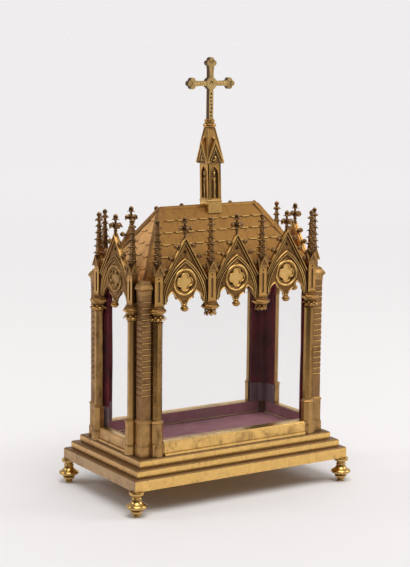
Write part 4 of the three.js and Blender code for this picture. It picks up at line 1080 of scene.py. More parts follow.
def beaded_field(form, half, slope, along):
    """Small pyramids between the arch and the coping"""
    pitch = 2.3
    size = 0.8
    shift = ((ARCH_APEX - ARCH_FOOT) ** 2 - half * half) / (2 * half)
    outer = half + shift
    rows = int((GABLE_APEX - ARCH_FOOT) / pitch)
    for row in range(rows):
        z = ARCH_FOOT + 8 + row * pitch
        for column in range(-16, 17):
            x = (column + 0.5 * (row % 2)) * pitch
            below_coping = (GABLE_APEX - slope * abs(x) - z) * along - COPING_WIDTH
            outside_arch = math.hypot(abs(x) + shift, z - ARCH_FOOT) - outer
            near_dot = math.hypot(x, z - ARCH_APEX - 6.5)
            if below_coping < 1.2 or outside_arch < 1.4 or near_dot < 4.2 or abs(x) > half - 2:
                continue
            front = -BOARD_FRONT
            form.add([(x - size, front, z), (x, front, z - size), (x + size, front, z), (x, front, z + size),
                      (x, front - 0.6, z)], [(0, 1, 4), (1, 2, 4), (2, 3, 4), (3, 0, 4), (3, 2, 1, 0)])


def leaf_cross(form, z, reach, rng):
    """Finial head: four curled leaves, each with a round lobe"""
    leafy_ring(form, z - 5, 1.4, reach * 1.25, 2.7, rng)
    for i in range(4):
        knob(form, (*polar(FINIAL_ARM, i * QUARTER), z), (3.3, 3.3, 3.1), 1, 3, 0.2)
    knob(form, (0, 0, z), (3.7, 3.7, 4.1), 1, 4, 0.2)


def roundel(radius, steps):
    return circle(0, ROUNDEL_HEIGHT, radius, steps)


def trefoil(cz, offset, radius):
    """Outline of three joined lobes, the first one upright"""
    points = []
    for i in range(3):
        angle = QUARTER + i * TAU / 3
        across, up = polar(offset, angle)
        points += arc(across, cz + up, radius, angle - 1.9, angle + 1.9, 6)
    return points


def spandrel(i):
    """Pierced triangle between two lobes of the roundel"""
    angle = QUARTER / 2 + i * QUARTER
    cx, cz = polar(SPANDREL_REACH, angle)
    tips = [polar(SPANDREL_SIZE, angle + k * TAU / 3) for k in range(3)]
    return [(cx + x, ROUNDEL_HEIGHT + cz + z) for x, z in tips]


def gable_form(half, rng, carved):
    form = Form()
    slope = (GABLE_APEX - GABLE_SHOULDER) / half
    along = 1 / math.hypot(1, slope)
    rise = slope * along
    right = lower_edge(half)
    lower = mirrored(right) + right
    outline = lower + [(half, GABLE_SHOULDER), (0, GABLE_APEX), (-half, GABLE_SHOULDER)]
    # The boards take the sunk field brass, painted shade on the field behind the mouldings
    prism(form, outline, BOARD_BACK, 1.6, finish=3)
    pierced = [roundel(ROUNDEL_RADIUS - 2.6, 40), trefoil(ARCH_APEX + 6.5, 1.5, 1.35)]
    prism(form, outline, 1.7, -BOARD_FRONT, pierced, 3)

    swept(form, lower, roll(0.9, 1.1, -BOARD_FRONT), 2)
    arch = whole_arch(half - ARCH_WIDTH / 2, ARCH_FOOT, ARCH_APEX - ARCH_WIDTH / 2 / along, 12)
    # Painted shade: the faces of the groove between the arch's rolls and its inner side take the dark casting
    swept(form, arch, [(2.5, 0), (2.5, -1.5), (2.0, -2.3), (1.2, -2.4), (0.7, -1.7), (0.45, -0.7),
                       (-0.3, -0.7), (-0.5, -1.9), (-1.1, -2.4), (-1.8, -2.2), (-2.5, -1.3), (-2.5, 0)],
          (0, 0, 2, 1, 1, 1, 1, 2, 0, 0, 1, 1))
    for inset, lift, drop, width, height in ((1.5, 0, 1.9, 0.75, 1.1), (3.6, 3, 4.4, 0.55, 0.9)):
        inner = whole_arch(half - ARCH_WIDTH - inset, ARCH_FOOT + lift,
                           ARCH_APEX - (ARCH_WIDTH + drop) / along, 12)
        swept(form, inner, roll(width, height, -BOARD_FRONT), 0)
    beaded_field(form, half, slope, along)

    back = BOARD_BACK + 0.2
    # Painted shade: the coping's groove and side faces take the dark casting
    swept(form, [(-half, GABLE_SHOULDER), (0, GABLE_APEX), (half, GABLE_SHOULDER)],
          [(0, back), (0, -2.6), (-0.4, -3.3), (-1.0, -3.5), (-1.7, -3.4), (-2.0, -2.6), (-2.2, -0.9),
           (-3.2, -0.9), (-3.4, -2.3), (-4.1, -2.9), (-4.8, -2.6), (-5.6, -1.0), (-5.6, back)],
          (0, 0, 2, 0, 1, 1, 1, 1, 2, 0, 1, 1, 0))

    swept(form, roundel(ROUNDEL_RADIUS - 1.6, 44), roll(1.7, 2.4, -0.5, 7), 2, joined=True)
    swept(form, roundel(ROUNDEL_RADIUS - 4.0, 44), roll(0.6, 0.9, -0.9, 4), joined=True)
    if carved:
        lobes = quatrefoil(LOBE_OFFSET, LOBE_RADIUS, 10)
        # The roundel's pierced plate takes the same painted shade
        prism(form, roundel(ROUNDEL_RADIUS - 3, 40), 0.2, -0.8, [lobes, *map(spandrel, range(4))], 3)
        swept(form, lobes, roll(0.95, 1.7, -0.7), 2, joined=True)
        prism(form, quatrefoil(LOBE_OFFSET, LOBE_RADIUS - 0.5, 8), 0.9, -0.5, finish=2)
        prism(form, roundel(ROUNDEL_RADIUS - 2.8, 40), 1.8, 1.2, finish=1)
    else:
        knob(form, (0, 0.6, ROUNDEL_HEIGHT), (9.5, 2.2, 9.5), 0, 8, 0.08)

    for side in (-1, 1):
        knob(form, (side * 13.2, -0.4, 283.6), (1.7, 1.5, 1.9), 1)
        knob(form, (side * 19.0, -0.9, 291.6), (0.9, 0.9, 0.9), 0)
        for i in range(3):
            run = CROCKET_FIRST + i * CROCKET_PITCH
            root = Vector((side * (run + 3) * along, -0.3, GABLE_APEX - (run + 3) * rise))
            size = bpy.context.scene.reliquary_sizes.crocket * rng.uniform(0.92, 1.06)
            outward = Vector((side * rise, 0, along))
            curled_leaf(form, root - outward, outward, (-side * along, 0, rise), size, 3.2, start=0.9,
                        curl=3.6)
            knob(form, tuple(root + outward * CROCKET_REACH), (3.5, 2.9, 3.5), 1, 3, 0.2)

    turned(form, [*off(0, GABLE_APEX - 4, (3.6, 0), (2.6, 4), (1.9, 6), (2.9, 6.8), (2.9, 7.8), (1.8, 8.6)),
                  (1.6, GABLE_TOP - 8)], 10, finish=1)
    leaf_cross(form, GABLE_TOP - 15, 8.6, rng)
    leafy_ring(form, GABLE_TOP - 9, 0.8, 5.2, 1.8, rng, QUARTER / 2)
    knob(form, (0, 0, GABLE_TOP - 4.4), (3.5, 3.3, 4.4), 1, 4, 0.16)
    turned(form, off(0, GABLE_TIP, (0.8, 0), (2.6, 0.5), (4.8, 2.0), (5.6, 4.0), (5.1, 5.8), (3.6, 7.0),
                     (2.6, 7.8), (3.3, 8.6), (3.3, 9.4), (2.4, 10.4), (2.2, 13)), 20, centre=(0, -0.7))
    return form


class RELIQUARY_OT_gables(bpy.types.Operator):
    """Carves the eight gables"""
    bl_idname = "reliquary.gables"
    bl_label = "Gables"

    def execute(self, context):
        rng = random.Random(37)
        finishes = ["gilt_carved", "dark_casting", "bright_relief", "sunk_field"]
        for face, _ in FACES:
            for where, along in (("left", -BAY), ("middle", 0), ("right", BAY)):
                node = f"gable_{face}_{where}"
                finished(f"carved_{node}", gable_form(LONG_HALF, rng, face == "front"), finishes, [node],
                         on_facade(face, along), bevel=0.16)
        finishes[2] = "end_shaft"
        for end, _ in ENDS:
            finished(f"carved_gable_{end}", gable_form(SHORT_HALF, rng, True), finishes, [f"gable_{end}"],
                     on_facade(end, 0), bevel=0.16)
        return {"FINISHED"}


def roof_half(z):
    fall = RIDGE_TOP - z
    return RIDGE_HALF + fall * HIP_SLOPE_X, fall * HIP_SLOPE_Y


def tile(form, z0, z1, u0, u1, limits, place, scallop, rng):
    """One tile of a row; place turns (along, height, proud) into a point of the slope"""
    steps = 6
    lower = []
    gap = 0.25 if scallop else 0.1
    a, b = u0 + gap, u1 - gap
    for i in range(steps + 1):
        t = i / steps
        bow = scallop * (1 - math.sqrt(max(0.0, 1 - (2 * t - 1) ** 2))) if scallop else 0.0
        corner = 0.8 if t in (0, 1) and not scallop else 0.0
        lower.append((a + (b - a) * t, z0 - 0.5 + bow + corner))
    outline = lower + [(b, z1 + 1.2), (a, z1 + 1.2)]
    tilt = rng.uniform(-0.14, 0.14)
    outside, inside = [], []
    for u, z in outline:
        t = (z - z0) / (z1 - z0)
        reach = limits(z)
        u = max(-reach, min(reach, u))
        proud = 1.45 - 1.1 * t + tilt
        outside.append(place(u, z, proud))
        inside.append(place(u, z, proud - 1.3))
    if abs(outside[0][0] - outside[steps][0]) + abs(outside[0][1] - outside[steps][1]) < 1.0:
        return
    sides = len(outline)
    loft(form, [outside, inside],
         tuple([1 if scallop else 3] * steps + [2 if scallop else 0] * (sides - steps)))
    if scallop:
        form.finishes[-2:] = [2, 2]
        return
    middle = (u0 + u1) / 2 + rng.uniform(-0.5, 0.5)
    reach = limits(z0)
    left, right = max(-reach, middle - DASH_HALF), min(reach, middle + DASH_HALF)
    if right - left > DASH_HALF:
        ends = [[place(u, z0 + up, out) for up, out in ((-0.7, 0.9), (-0.7, 2.0), (0.5, 1.9), (0.5, 0.9))]
                for u in (left, right)]
        loft(form, ends, 1)


def roof_form(sizes, rng):
    form = Form()
    ridge_foot = RIDGE_TOP - RIDGE_HALF_WIDTH / HIP_SLOPE_Y

    def shell(z, inset):
        x, y = roof_half(z)
        x, y = x - inset, y - inset
        return [(-x, -y, z), (x, -y, z), (x, y, z), (-x, y, z)]

    loft(form, [shell(ridge_foot, 0.4), shell(ROOF_FOOT, 0.4), shell(ROOF_FOOT, ROOF_WALL),
                shell(ridge_foot - ROOF_WALL, ROOF_WALL - 2.2)])

    rise = (ridge_foot - ROOF_FOOT) / TILE_ROWS
    pitch = sizes.tile_pitch
    for row in range(TILE_ROWS):
        z0 = ROOF_FOOT + 0.5 + row * rise
        z1 = min(z0 + rise, ridge_foot)
        long_half, short_half = roof_half(z0)
        offset = pitch * (0.5 if row % 2 else 0.0)
        for sign in (-1, 1):
            count = int(long_half / pitch) + 2
            for i in range(-count, count):
                u0 = i * pitch + offset
                tile(form, z0, z1, u0, u0 + pitch, lambda z: roof_half(z)[0] + 0.8,
                     lambda u, z, p, s=sign: (u, s * (roof_half(z)[1] + p), z), 0.0, rng)
            count = int(short_half / pitch) + 2
            for i in range(-count, count):
                u0 = i * pitch + offset
                tile(form, z0, z1, u0, u0 + pitch, lambda z: roof_half(z)[1] + 0.8,
                     lambda u, z, p, s=sign: (s * (roof_half(z)[0] + p), u, z), SCALLOP_RISE, rng)

    wing = sizes.hip_width
    eaves_x, eaves_y = roof_half(ROOF_FOOT)
    for sx in (-1, 1):
        for sy in (-1, 1):
            seat = (*sorted((sx * (eaves_x - 9), sx * (eaves_x - 0.6))),
                    *sorted((sy * (eaves_y - 9), sy * (eaves_y - 0.6))))
            stacked(form, [(0, ROOF_FOOT - 4), (0, ROOF_FOOT + 3)], lambda _, seat=seat: seat)
            rings = []
            for i in range(9):
                z = ROOF_FOOT + 0.2 + (ridge_foot + 1.5 - ROOF_FOOT) * i / 8
                x, y = roof_half(z)
                wing_x, wing_y = min(wing, x), min(wing, max(0.6, y))
                rings.append([(sx * (x + 2.3), sy * (y + 2.3), z), (sx * (x - wing_x), sy * (y + 2.0), z),
                              (sx * (x - wing_x), sy * (y + 0.6), z), (sx * (x + 0.5), sy * (y + 0.5), z),
                              (sx * (x + 0.6), sy * (y - wing_y), z), (sx * (x + 2.0), sy * (y - wing_y), z)])
            loft(form, rings)

    cap_half = RIDGE_HALF + 1.4
    right = [(3.6, ridge_foot - 2.6), (3.4, ridge_foot - 0.4), (2.7, RIDGE_TOP - 1.6), (1.5, RIDGE_TOP - 0.5)]
    section = [(-y, z) for y, z in right] + [(0, RIDGE_TOP)] + right[::-1]
    loft(form, [[(x, y, z) for y, z in section] for x in (-cap_half, cap_half)])
    return form


class RELIQUARY_OT_roof(bpy.types.Operator):
    """Lays the tiled roof with its hip strips and ridge"""
    bl_idname = "reliquary.roof"
    bl_label = "Roof"

    def execute(self, context):
        form = roof_form(context.scene.reliquary_sizes, random.Random(53))
        finished("tiled_roof", form, ["roof_plate", "bright_relief", "hip_plate", "dark_casting"], ["roof"],
                 bevel=0.2)
        return {"FINISHED"}


def shrunk(points, share):
    """A gable's outline drawn in towards the middle of its foot"""
    return [(x * share, TURRET_GABLE_FOOT + (z - TURRET_GABLE_FOOT) * share) for x, z in points]


def turret_side():
    """One of the turret's four sides: niche with its colonnette, and the gable above"""
    side = Form()
    half = TURRET_HALF
    core = half - TURRET_WALL
    eaves = TURRET_GABLE_FOOT + 2
    niche = [(NICHE_HALF, NICHE_FOOT), *whole_arch(NICHE_HALF, NICHE_SPRING, NICHE_TOP, 6),
             (-NICHE_HALF, NICHE_FOOT)]
    rake = [(-TURRET_GABLE_HALF, TURRET_GABLE_FOOT), (0, TURRET_GABLE_APEX),
            (TURRET_GABLE_HALF, TURRET_GABLE_FOOT)]
    triangle = [rake[0], rake[2], rake[1]]
    shaded = -half - 2.6
    front = -TURRET_GABLE_HALF
    prism(side, rectangle(half, NICHE_FOOT - 4, eaves), -core + 0.1, -half, [niche])
    swept(side, niche, roll(0.7, 0.7, -half + 0.1, 4))
    turned(side, [*off(0, NICHE_FOOT, (1.9, 0), (2.1, 4), (1.5, 6), (1.9, 14)),
                  *off(0, NICHE_SPRING, (2.3, -15), (1.4, -10), (2.2, -8.4), (1.3, -7), (1.2, -4))],
           12, centre=(0, -core - 0.4), finish=2)
    for sign in (-1, 1):
        curled_leaf(side, (sign * 0.6, -core - 0.8, NICHE_SPRING - 8), (sign, 0, 0), (0, 0, 1), 5.6, 1.5, 2)
    knob(side, (0, -core - 0.8, NICHE_SPRING + 0.5), (2.1, 1.4, 3.0), 2, 4, 0.12)
    for sign in (-1, 1):
        curled_leaf(side, (sign * 0.8, shaded, TURRET_GABLE_FOOT + 1), (sign, 0, 0), (0, 0, 1), 6.0, 1.8, 2)
    knob(side, (0, shaded, TURRET_GABLE_FOOT + 6), (1.8, 1.3, 3.4), 2, 4, 0.12)
    # Finish 4 is painted shade: the gable's face, the inner triangle under the hood and the hood's underside
    prism(side, triangle, 0, -half - 0.4, finish=4, rim=4)
    prism(side, shrunk(triangle, 0.86), -half, shaded, finish=4, rim=4)
    swept(side, rake, [(0.1, -half + 1), (0.1, front + 0.4), (-0.6, front), (-1.9, front + 0.1),
                       (-2.4, front + 0.9), (-3.2, front + 0.8), (-3.7, front + 1.6), (-3.7, -half + 1)],
          (0, 2, 2, 1, 0, 1, 4, 1))
    swept(side, shrunk(rake, 0.62), roll(0.8, 1.0, shaded, 4), 2)
    knob(side, (0, -9.4, TURRET_GABLE_APEX + 2), (1.7, 1.7, 1.9), 2)
    return side


def turret_form():
    form = Form()
    core = TURRET_HALF - TURRET_WALL
    foot_level = NICHE_FOOT - 3
    stacked(form, [(0, NICHE_FOOT - 4), (0, TURRET_GABLE_FOOT + 2)], lambda _: (-core, core, -core, core), 1)
    for i in range(4):
        form.take(turret_side(), turn_about_z(i * QUARTER))

    def lower_rect(proud):
        reach = TURRET_HALF + proud
        return (-reach, reach, -reach, reach)

    stacked(form, [(0.35, TURRET_FOOT + 1),
                   *off(0, foot_level, (0.35, -2.2), (0.9, -1.6), (0.9, -0.4), (0.1, 0.8))], lower_rect, 3)
    turned(form, [(13.4, TURRET_GABLE_FOOT + 1), (9.4, SPIRE_BREAK), (5.3, COLLAR_FOOT - 3),
                  (5.1, COLLAR_FOOT)], 4, QUARTER / 2)
    for i in range(4):
        direction = towards(QUARTER / 2 + i * QUARTER)
        rings = []
        for reach, z in ((18.4, TURRET_GABLE_FOOT + 2), (13.2, SPIRE_BREAK), (7.4, COLLAR_FOOT - 1)):
            centre = direction * reach + Vector((0, 0, z))
            rings.append([centre + towards(k * TAU / 6) * 0.9 for k in range(6)])
        loft(form, rings, 2)
    turned(form, [
        *off(0, COLLAR_FOOT, (5.4, -1.6), (6.4, -0.8), (8.6, 0.4), (9.1, 1.6), (9.1, 3.0)),
        *off(0, (COLLAR_FOOT + COLLAR_TOP) / 2, (8.3, -1.0), (6.4, -0.2), (6.2, 0.5), (7.0, 1.1), (7.3, 2.2)),
        *off(0, COLLAR_TOP, (7.2, -1.2), (6.2, -0.4), (5.6, -0.1)),
    ], 28)
    return form


def leaning(corner):
    """The turret leans a little towards its cross"""
    share = (COLLAR_FOOT - corner.z) / (COLLAR_FOOT - TURRET_FOOT)
    return Vector((corner.x + TURRET_LEAN * share, corner.y, corner.z))


class RELIQUARY_OT_turret(bpy.types.Operator):
    """Builds the ridge turret"""
    bl_idname = "reliquary.turret"
    bl_label = "Turret"

    def execute(self, context):
        # The fifth finish is painted shade on the gables' faces and hood undersides
        finishes = ["gilt_carved", "dark_casting", "bright_relief", "gilt_plain", "painted_shade_casting"]
        finished("ridge_turret", turret_form(), finishes, ["turret"], bevel=0.2,
                 stretch=leaning)
        return {"FINISHED"}


def trefoil_end(form, x, z, out_x, out_z):
    """Three rounded lobes at the end of an arm"""
    side_x, side_z = out_z, out_x
    for cx, cz in ((x, z), (x - LOBE * out_x + LOBE * side_x, z - LOBE * out_z + LOBE * side_z),
                   (x - LOBE * out_x - LOBE * side_x, z - LOBE * out_z - LOBE * side_z)):
        prism(form, circle(cx, cz, LOBE - 0.1, 20), BAR_DEEP + LAP, -BAR_DEEP - LAP, rim=1)
        for sign in (-1, 1):
            low, high = sign * (BAR_DEEP - 0.3), sign * (BAR_DEEP + 0.35)
            swept(form, circle(cx, cz, LOBE - 1.3, 20), [(0.5, low), (0.3, high), (-0.3, high), (-0.5, low)],
                  joined=True)


def raised(points, level):
    return [(x, level + z) for x, z in points]


def cross_form():
    form = Form()
    half = BAR_HALF
    deep = BAR_DEEP
    flare = LOBE + 1.4
    top = CROSS_TOP - LOBE
    reach = ARM_REACH - LOBE
    boss = BOSS_HALF
    rng = random.Random(71)
    holes = []
    for i in range(7):
        z = COLLAR_TOP + 4.5 + i * 5.0
        holes.append(circle(rng.uniform(-0.6, 0.6), z, 1.35 + rng.uniform(-0.15, 0.25), 8))
    lower = rectangle(half, COLLAR_TOP, ARM_HEIGHT - boss)
    prism(form, lower, deep - 0.7, 0.7 - deep, finish=1)
    prism(form, lower, 0.8 - deep, -deep, holes, rim=1)
    prism(form, lower, deep, deep - 0.8, holes, rim=1)
    flank = bowed((half, top - 18), (half, top - 9), (flare, top - 5), 5)
    prism(form, [(-half, ARM_HEIGHT), (half, ARM_HEIGHT), *flank, *mirrored(flank)], deep, -deep, rim=1)
    for side in (-1, 1):
        curve = bowed((side * (reach - 16), half), (side * (reach - 8), half), (side * (reach - 3), flare), 5)
        low = [(x, -z) for x, z in reversed(curve)]
        prism(form, raised([(0, half), *curve, *low, (0, -half)], ARM_HEIGHT), deep, -deep, rim=1)
        trefoil_end(form, side * reach, ARM_HEIGHT, side, 0)
        for face in (-1, 1):
            for bead in BEADS:
                knob(form, (side * bead, face * deep, ARM_HEIGHT + rng.uniform(-0.5, 0.5)), (1.3, 0.9, 1.3))
    trefoil_end(form, 0, top, 0, 1)
    inner = boss - BOSS_NOTCH
    square = [(-boss, -inner), (-inner, -inner), (-inner, -boss), (inner, -boss), (inner, -inner),
              (boss, -inner)]
    square = raised(square + [(-x, -z) for x, z in square], ARM_HEIGHT)
    deep = BOSS_DEEP - LAP
    prism(form, square, deep - 1, 1 - deep, rim=1)
    for sign in (-1, 1):
        prism(form, square, sign * (deep - 1.1), sign * deep, [circle(0, ARM_HEIGHT, 2.9, 20)], rim=1)
        knob(form, (0, sign * (deep - 0.9), ARM_HEIGHT), (1.7, 0.9, 1.7))
    return form


class RELIQUARY_OT_cross(bpy.types.Operator):
    """Casts the cross"""
    bl_idname = "reliquary.cross"
    bl_label = "Cross"

    def execute(self, context):
        # The cross's edges and the core of its stem take the second finish, painted shade
        finished("trefoil_cross", cross_form(), ["gilt_cross", "painted_shade_casting"], ["cross"],
                 bevel=0.3)
        return {"FINISHED"}


class RELIQUARY_OT_glass(bpy.types.Operator):
    """Glazes the four sides"""
    bl_idname = "reliquary.glass"
    bl_label = "Glass"

    def execute(self, context):
        for side in OUTWARD:
            dress_node(f"glass_{side}", ["sheet_glass"], 0.0)
        return {"FINISHED"}


def lining_corner():
    """Where the velvet turns away round a buttress"""
    return [at - BUTTRESS_SIZE - LINING_GAP for at in BUTTRESS_CORNER]


def velvet_floor_form(rng):
    """Floor board under velvet, left out at the corners where the buttresses stand"""
    form = Form()
    low, high = node_box("floor_lining")
    corner_x, corner_y = lining_corner()
    step = 3.0
    phases = [rng.uniform(0, TAU) for _ in range(6)]

    def surface(x, y):
        wave = math.sin(x * 0.045 + phases[0]) * math.sin(y * 0.06 + phases[1])
        wave += 0.5 * math.sin(x * 0.11 + y * 0.07 + phases[2])
        wave += 0.4 * math.sin(y * 0.17 - x * 0.05 + phases[3])
        edge = min(high.x - abs(x), high.y - abs(y))
        return high.z + 0.25 * wave - 0.5 * math.exp(-edge / 1.2)

    def stations(limit, corner):
        values = [corner * i / int(corner / step) for i in range(int(corner / step) + 1)]
        values += [corner + (limit - corner) * i / 2 for i in (1, 2)]
        return [-v for v in reversed(values[1:])] + values

    xs, ys = stations(high.x, corner_x), stations(high.y, corner_y)
    index = {}
    corners = []
    faces = []

    def corner_at(i, j, top):
        key = (i, j, top)
        if key not in index:
            index[key] = len(corners)
            corners.append((xs[i], ys[j], surface(xs[i], ys[j]) if top else low.z))
        return index[key]

    def kept(i, j):
        if not (0 <= i < len(xs) - 1 and 0 <= j < len(ys) - 1):
            return False
        x, y = (xs[i] + xs[i + 1]) / 2, (ys[j] + ys[j + 1]) / 2
        return not (abs(x) > corner_x and abs(y) > corner_y)

    for i in range(len(xs) - 1):
        for j in range(len(ys) - 1):
            if not kept(i, j):
                continue
            for top in (True, False):
                faces.append([corner_at(i + a, j + b, top) for a, b in ((0, 0), (1, 0), (1, 1), (0, 1))])
            for di, dj, a, b in ((-1, 0, (i, j), (i, j + 1)), (1, 0, (i + 1, j), (i + 1, j + 1)),
                                 (0, -1, (i, j), (i + 1, j)), (0, 1, (i, j + 1), (i + 1, j + 1))):
                if not kept(i + di, j + dj):
                    faces.append([corner_at(*a, True), corner_at(*b, True), corner_at(*b, False),
                                  corner_at(*a, False)])
    form.add(corners, faces)
    return form


def twisted_cord(form, start, end, radius):
    """Two strands laid round each other along a straight line"""
    start, end, up = Vector(start), Vector(end), Vector((0, 0, 1))
    length = (end - start).length
    ahead = (end - start) / length
    side = up.cross(ahead).normalized()
    steps = max(2, int(length / 0.7))
    for strand in (0, 1):
        rings = []
        for i in range(steps):
            along = length * i / steps
            turn = TAU * along / CORD_PITCH + math.pi * strand
            centre = start + ahead * along + (side * math.cos(turn) + up * math.sin(turn)) * radius
            rings.append([centre + side * (radius * math.cos(TAU * k / 6)) +
                          up * (radius * math.sin(TAU * k / 6)) for k in range(6)])
        loft(form, rings)


def lining_form(node, sx, sy, rng):
    """Velvet pasted on thin board round a corner of the chamber"""
    form = Form()
    low, high = node_box(node)
    far_x, far_y = max(abs(low.x), abs(high.x)), max(abs(low.y), abs(high.y))
    near_x, near_y = min(abs(low.x), abs(high.x)), min(abs(low.y), abs(high.y))
    corner_x, corner_y = lining_corner()
    face_x, face_y, fold_x, fold_y = (at - LINING_THICK for at in (far_x, far_y, corner_x, corner_y))
    inside = [(near_x, face_y), (fold_x - 1, face_y), (fold_x, face_y - 1), (fold_x, fold_y + 0.8),
              (fold_x + 0.8, fold_y), (face_x - 1, fold_y), (face_x, fold_y - 1), (face_x, near_y)]
    outside = [(far_x, near_y), (far_x, corner_y), (corner_x, corner_y), (corner_x, far_y), (near_x, far_y)]
    bottom, top = low.z, high.z
    phase = rng.uniform(0, TAU)
    rings = []
    for i in range(LINING_ROWS + 1):
        z = bottom + (top - bottom) * i / LINING_ROWS
        ease = 0.45 * math.exp(-min(i, LINING_ROWS - i) / 1.2)
        ring = []
        for k, (x, y) in enumerate(inside):
            puff = 0.18 * math.sin(z * 0.05 + phase + 1.7 * k) - ease
            ring.append((sx * (x - puff), sy * (y - puff), z))
        rings.append(ring + [(sx * x, sy * y, z) for x, y in outside])
    loft(form, rings)
    # Painted reflection: below the columns' rings the back linings take the greyish pile, standing in for the
    # front glass reflecting the floor
    reflection_rows = int(LINING_ROWS * (RING_TOP - bottom) / (top - bottom)) if sy > 0 else 0
    faded = reflection_rows * len(rings[0])
    form.finishes[:faded] = [1] * faded
    return form


class RELIQUARY_OT_lining(bpy.types.Operator):
    """Lines the chamber with velvet and lays the gold cord"""
    bl_idname = "reliquary.lining"
    bl_label = "Velvet Lining"

    def execute(self, context):
        rng = random.Random(83)
        finished("velvet_floor", velvet_floor_form(rng), ["floor_pile"], ["floor_lining"],
                 sharp=60)
        for face, end, sx, sy in CORNERS:
            node = f"lining_{face}_{end}"
            # The second finish is the painted reflection low on the back linings
            finished(f"velvet_{node}", lining_form(node, sx, sy, rng), ["crimson_pile", "reflection_grey_pile"], [node],
                     sharp=60)
        radius = context.scene.reliquary_velvet.cord_radius
        _, high = node_box("floor_lining")
        z = high.z + 2 * radius
        inner_x, inner_y = high.x - 2 * radius - 0.4, high.y - 2 * radius - 0.4
        reach_x, reach_y = (at - BUTTRESS_SIZE - 3 for at in BUTTRESS_CORNER)
        form = Form()
        for sign in (-1, 1):
            for start, end in (((-reach_x, sign * inner_y, z), (reach_x, sign * inner_y, z)),
                               ((sign * inner_x, -reach_y, z), (sign * inner_x, reach_y, z))):
                twisted_cord(form, start, end, radius)
        finished("gold_cord_trim", form, ["gold_cord"], (), sharp=60)
        return {"FINISHED"}


def outward_from(azimuth, elevation):
    """Unit vector from the reliquary towards a light or the camera"""
    return Vector((math.sin(azimuth) * math.cos(elevation), -math.cos(azimuth) * math.cos(elevation),
                   math.sin(elevation)))


def soft_light(name, kind, energy, tint_colour, turn, size, distance=2.5):
    """A studio light that faces the reliquary from a direction (azimuth, elevation) in degrees"""
    light = bpy.data.lights.new(name, kind)
    light.energy = energy
    light.color = tint_colour
    back = outward_from(*map(math.radians, turn))
    if kind == "SUN":
        light.angle = size
    else:
        light.shape = "RECTANGLE"
        light.size, light.size_y = size, size
    lamp = bpy.data.objects.new(name, light)
    lamp.location = back * distance + Vector((0, 0, 0.25))
    lamp.rotation_mode = "QUATERNION"
    lamp.rotation_quaternion = (-back).to_track_quat("-Z", "Y")
    bpy.context.scene.collection.objects.link(lamp)


def studio_world():
    """Pale to the camera; to the metal, a bright right and back and a dim left front"""
    world = bpy.data.worlds.new("studio")
    bpy.context.scene.world = world
    nodes = Nodes(world)
    place = nodes.make("TexCoord").outputs["Generated"]
    across = nodes.make("VectorMath", {0: place, 1: (0.87, 0.50, 0.0)}, operation="DOT_PRODUCT")
    share = nodes.make("MapRange", {"Value": across.outputs["Value"], "From Min": -1.0}).outputs[0]
    shade = nodes.ramp(share, 0.0, 1.0, (0.035, 0.032, 0.034, 1), (0.86, 0.85, 0.84, 1))
    nodes.surface("MixShader", {
        0: nodes.make("LightPath").outputs["Is Camera Ray"],
        1: nodes.make("Background", {"Color": shade}).outputs[0],
        2: nodes.make("Background", {"Color": (0.868, 0.847, 0.853, 1)}).outputs[0]}, "OutputWorld")


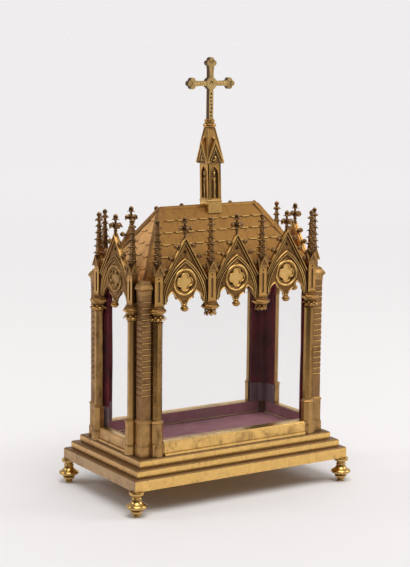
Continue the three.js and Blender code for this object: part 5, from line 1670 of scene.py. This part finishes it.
class RELIQUARY_OT_stage(bpy.types.Operator):
    """Sets the floor, the lights and the camera"""
    bl_idname = "reliquary.stage"
    bl_label = "Stage"

    def execute(self, context):
        scene = context.scene
        place = scene.reliquary_camera
        floor_mesh = bpy.data.meshes.new("pale_floor")
        near, far, wide = -0.8, 60.0, 40.0
        square = turn_about_z(place.azimuth)
        corners = ((-wide, near), (wide, near), (wide, far), (-wide, far))
        floor_mesh.from_pydata([square @ Vector((x, y, 0)) for x, y in corners], [], [(0, 1, 2, 3)])
        paper = pale_ground("pale_floor", (0.82, 0.81, 0.825, 1), (0.90, 0.895, 0.915, 1))
        floor_mesh.materials.append(paper)
        floor = bpy.data.objects.new("pale_floor", floor_mesh)
        scene.collection.objects.link(floor)
        studio_world()
        soft_light("key", "SUN", 1.75, (1.0, 0.985, 0.96), (-20, 68), math.radians(45))
        soft_light("right_box", "AREA", 7, (1.0, 0.98, 0.95), (62, 30), 0.7, 2.0)
        soft_light("left_box", "AREA", 6, (1.0, 0.98, 0.95), (-118, 30), 0.6, 2.0)
        scene.view_settings.view_transform = "Standard"

        azimuth = place.azimuth
        back = outward_from(azimuth, place.elevation)
        right = Vector((math.cos(azimuth), math.sin(azimuth), 0))
        up = back.cross(right)
        turned_right = right * math.cos(place.roll) + up * math.sin(place.roll)
        turned_up = up * math.cos(place.roll) - right * math.sin(place.roll)
        aim = Vector((0, 0, place.aim_height)) + turned_right * place.aim_side
        lens = bpy.data.cameras.new("studio_camera")
        lens.lens = place.lens
        lens.sensor_width = 36
        lens.clip_end = 60
        camera = bpy.data.objects.new("studio_camera", lens)
        camera.matrix_world = Matrix((
            (turned_right.x, turned_up.x, back.x, 0), (turned_right.y, turned_up.y, back.y, 0),
            (turned_right.z, turned_up.z, back.z, 0), (0, 0, 0, 1)))
        camera.location = aim + back * place.distance
        scene.collection.objects.link(camera)
        scene.camera = camera
        return {"FINISHED"}


OPERATORS = (RELIQUARY_OT_stage, RELIQUARY_OT_base, RELIQUARY_OT_feet, RELIQUARY_OT_buttresses,
             RELIQUARY_OT_columns, RELIQUARY_OT_pinnacles, RELIQUARY_OT_gables, RELIQUARY_OT_roof,
             RELIQUARY_OT_turret, RELIQUARY_OT_cross, RELIQUARY_OT_glass, RELIQUARY_OT_lining)
GROUPS = (("reliquary_gilt", GiltFinish), ("reliquary_velvet", VelvetFinish),
          ("reliquary_sizes", CastingSizes), ("reliquary_camera", CameraPlace))


class RELIQUARY_PT_panel(bpy.types.Panel):
    """Steps and sizes of the reliquary"""
    bl_label = "Reliquary"
    bl_idname = "RELIQUARY_PT_panel"
    bl_space_type = "VIEW_3D"
    bl_region_type = "UI"
    bl_category = "Reliquary"

    def draw(self, context):
        layout = self.layout
        for name, group in GROUPS:
            box = layout.box()
            settings = getattr(context.scene, name)
            for key in group.__annotations__:
                box.prop(settings, key)
        for operator in OPERATORS:
            layout.operator(operator.bl_idname)


def register():
    for name, group in GROUPS:
        bpy.utils.register_class(group)
        setattr(bpy.types.Scene, name, PointerProperty(type=group))
    for operator in OPERATORS:
        bpy.utils.register_class(operator)
    bpy.utils.register_class(RELIQUARY_PT_panel)


def unregister():
    bpy.utils.unregister_class(RELIQUARY_PT_panel)
    for operator in reversed(OPERATORS):
        bpy.utils.unregister_class(operator)
    for name, group in reversed(GROUPS):
        delattr(bpy.types.Scene, name)
        bpy.utils.unregister_class(group)


def main():
    register()
    for operator in OPERATORS:
        family, action = operator.bl_idname.split(".")
        getattr(getattr(bpy.ops, family), action)()


if __name__ == "__main__":
    main()
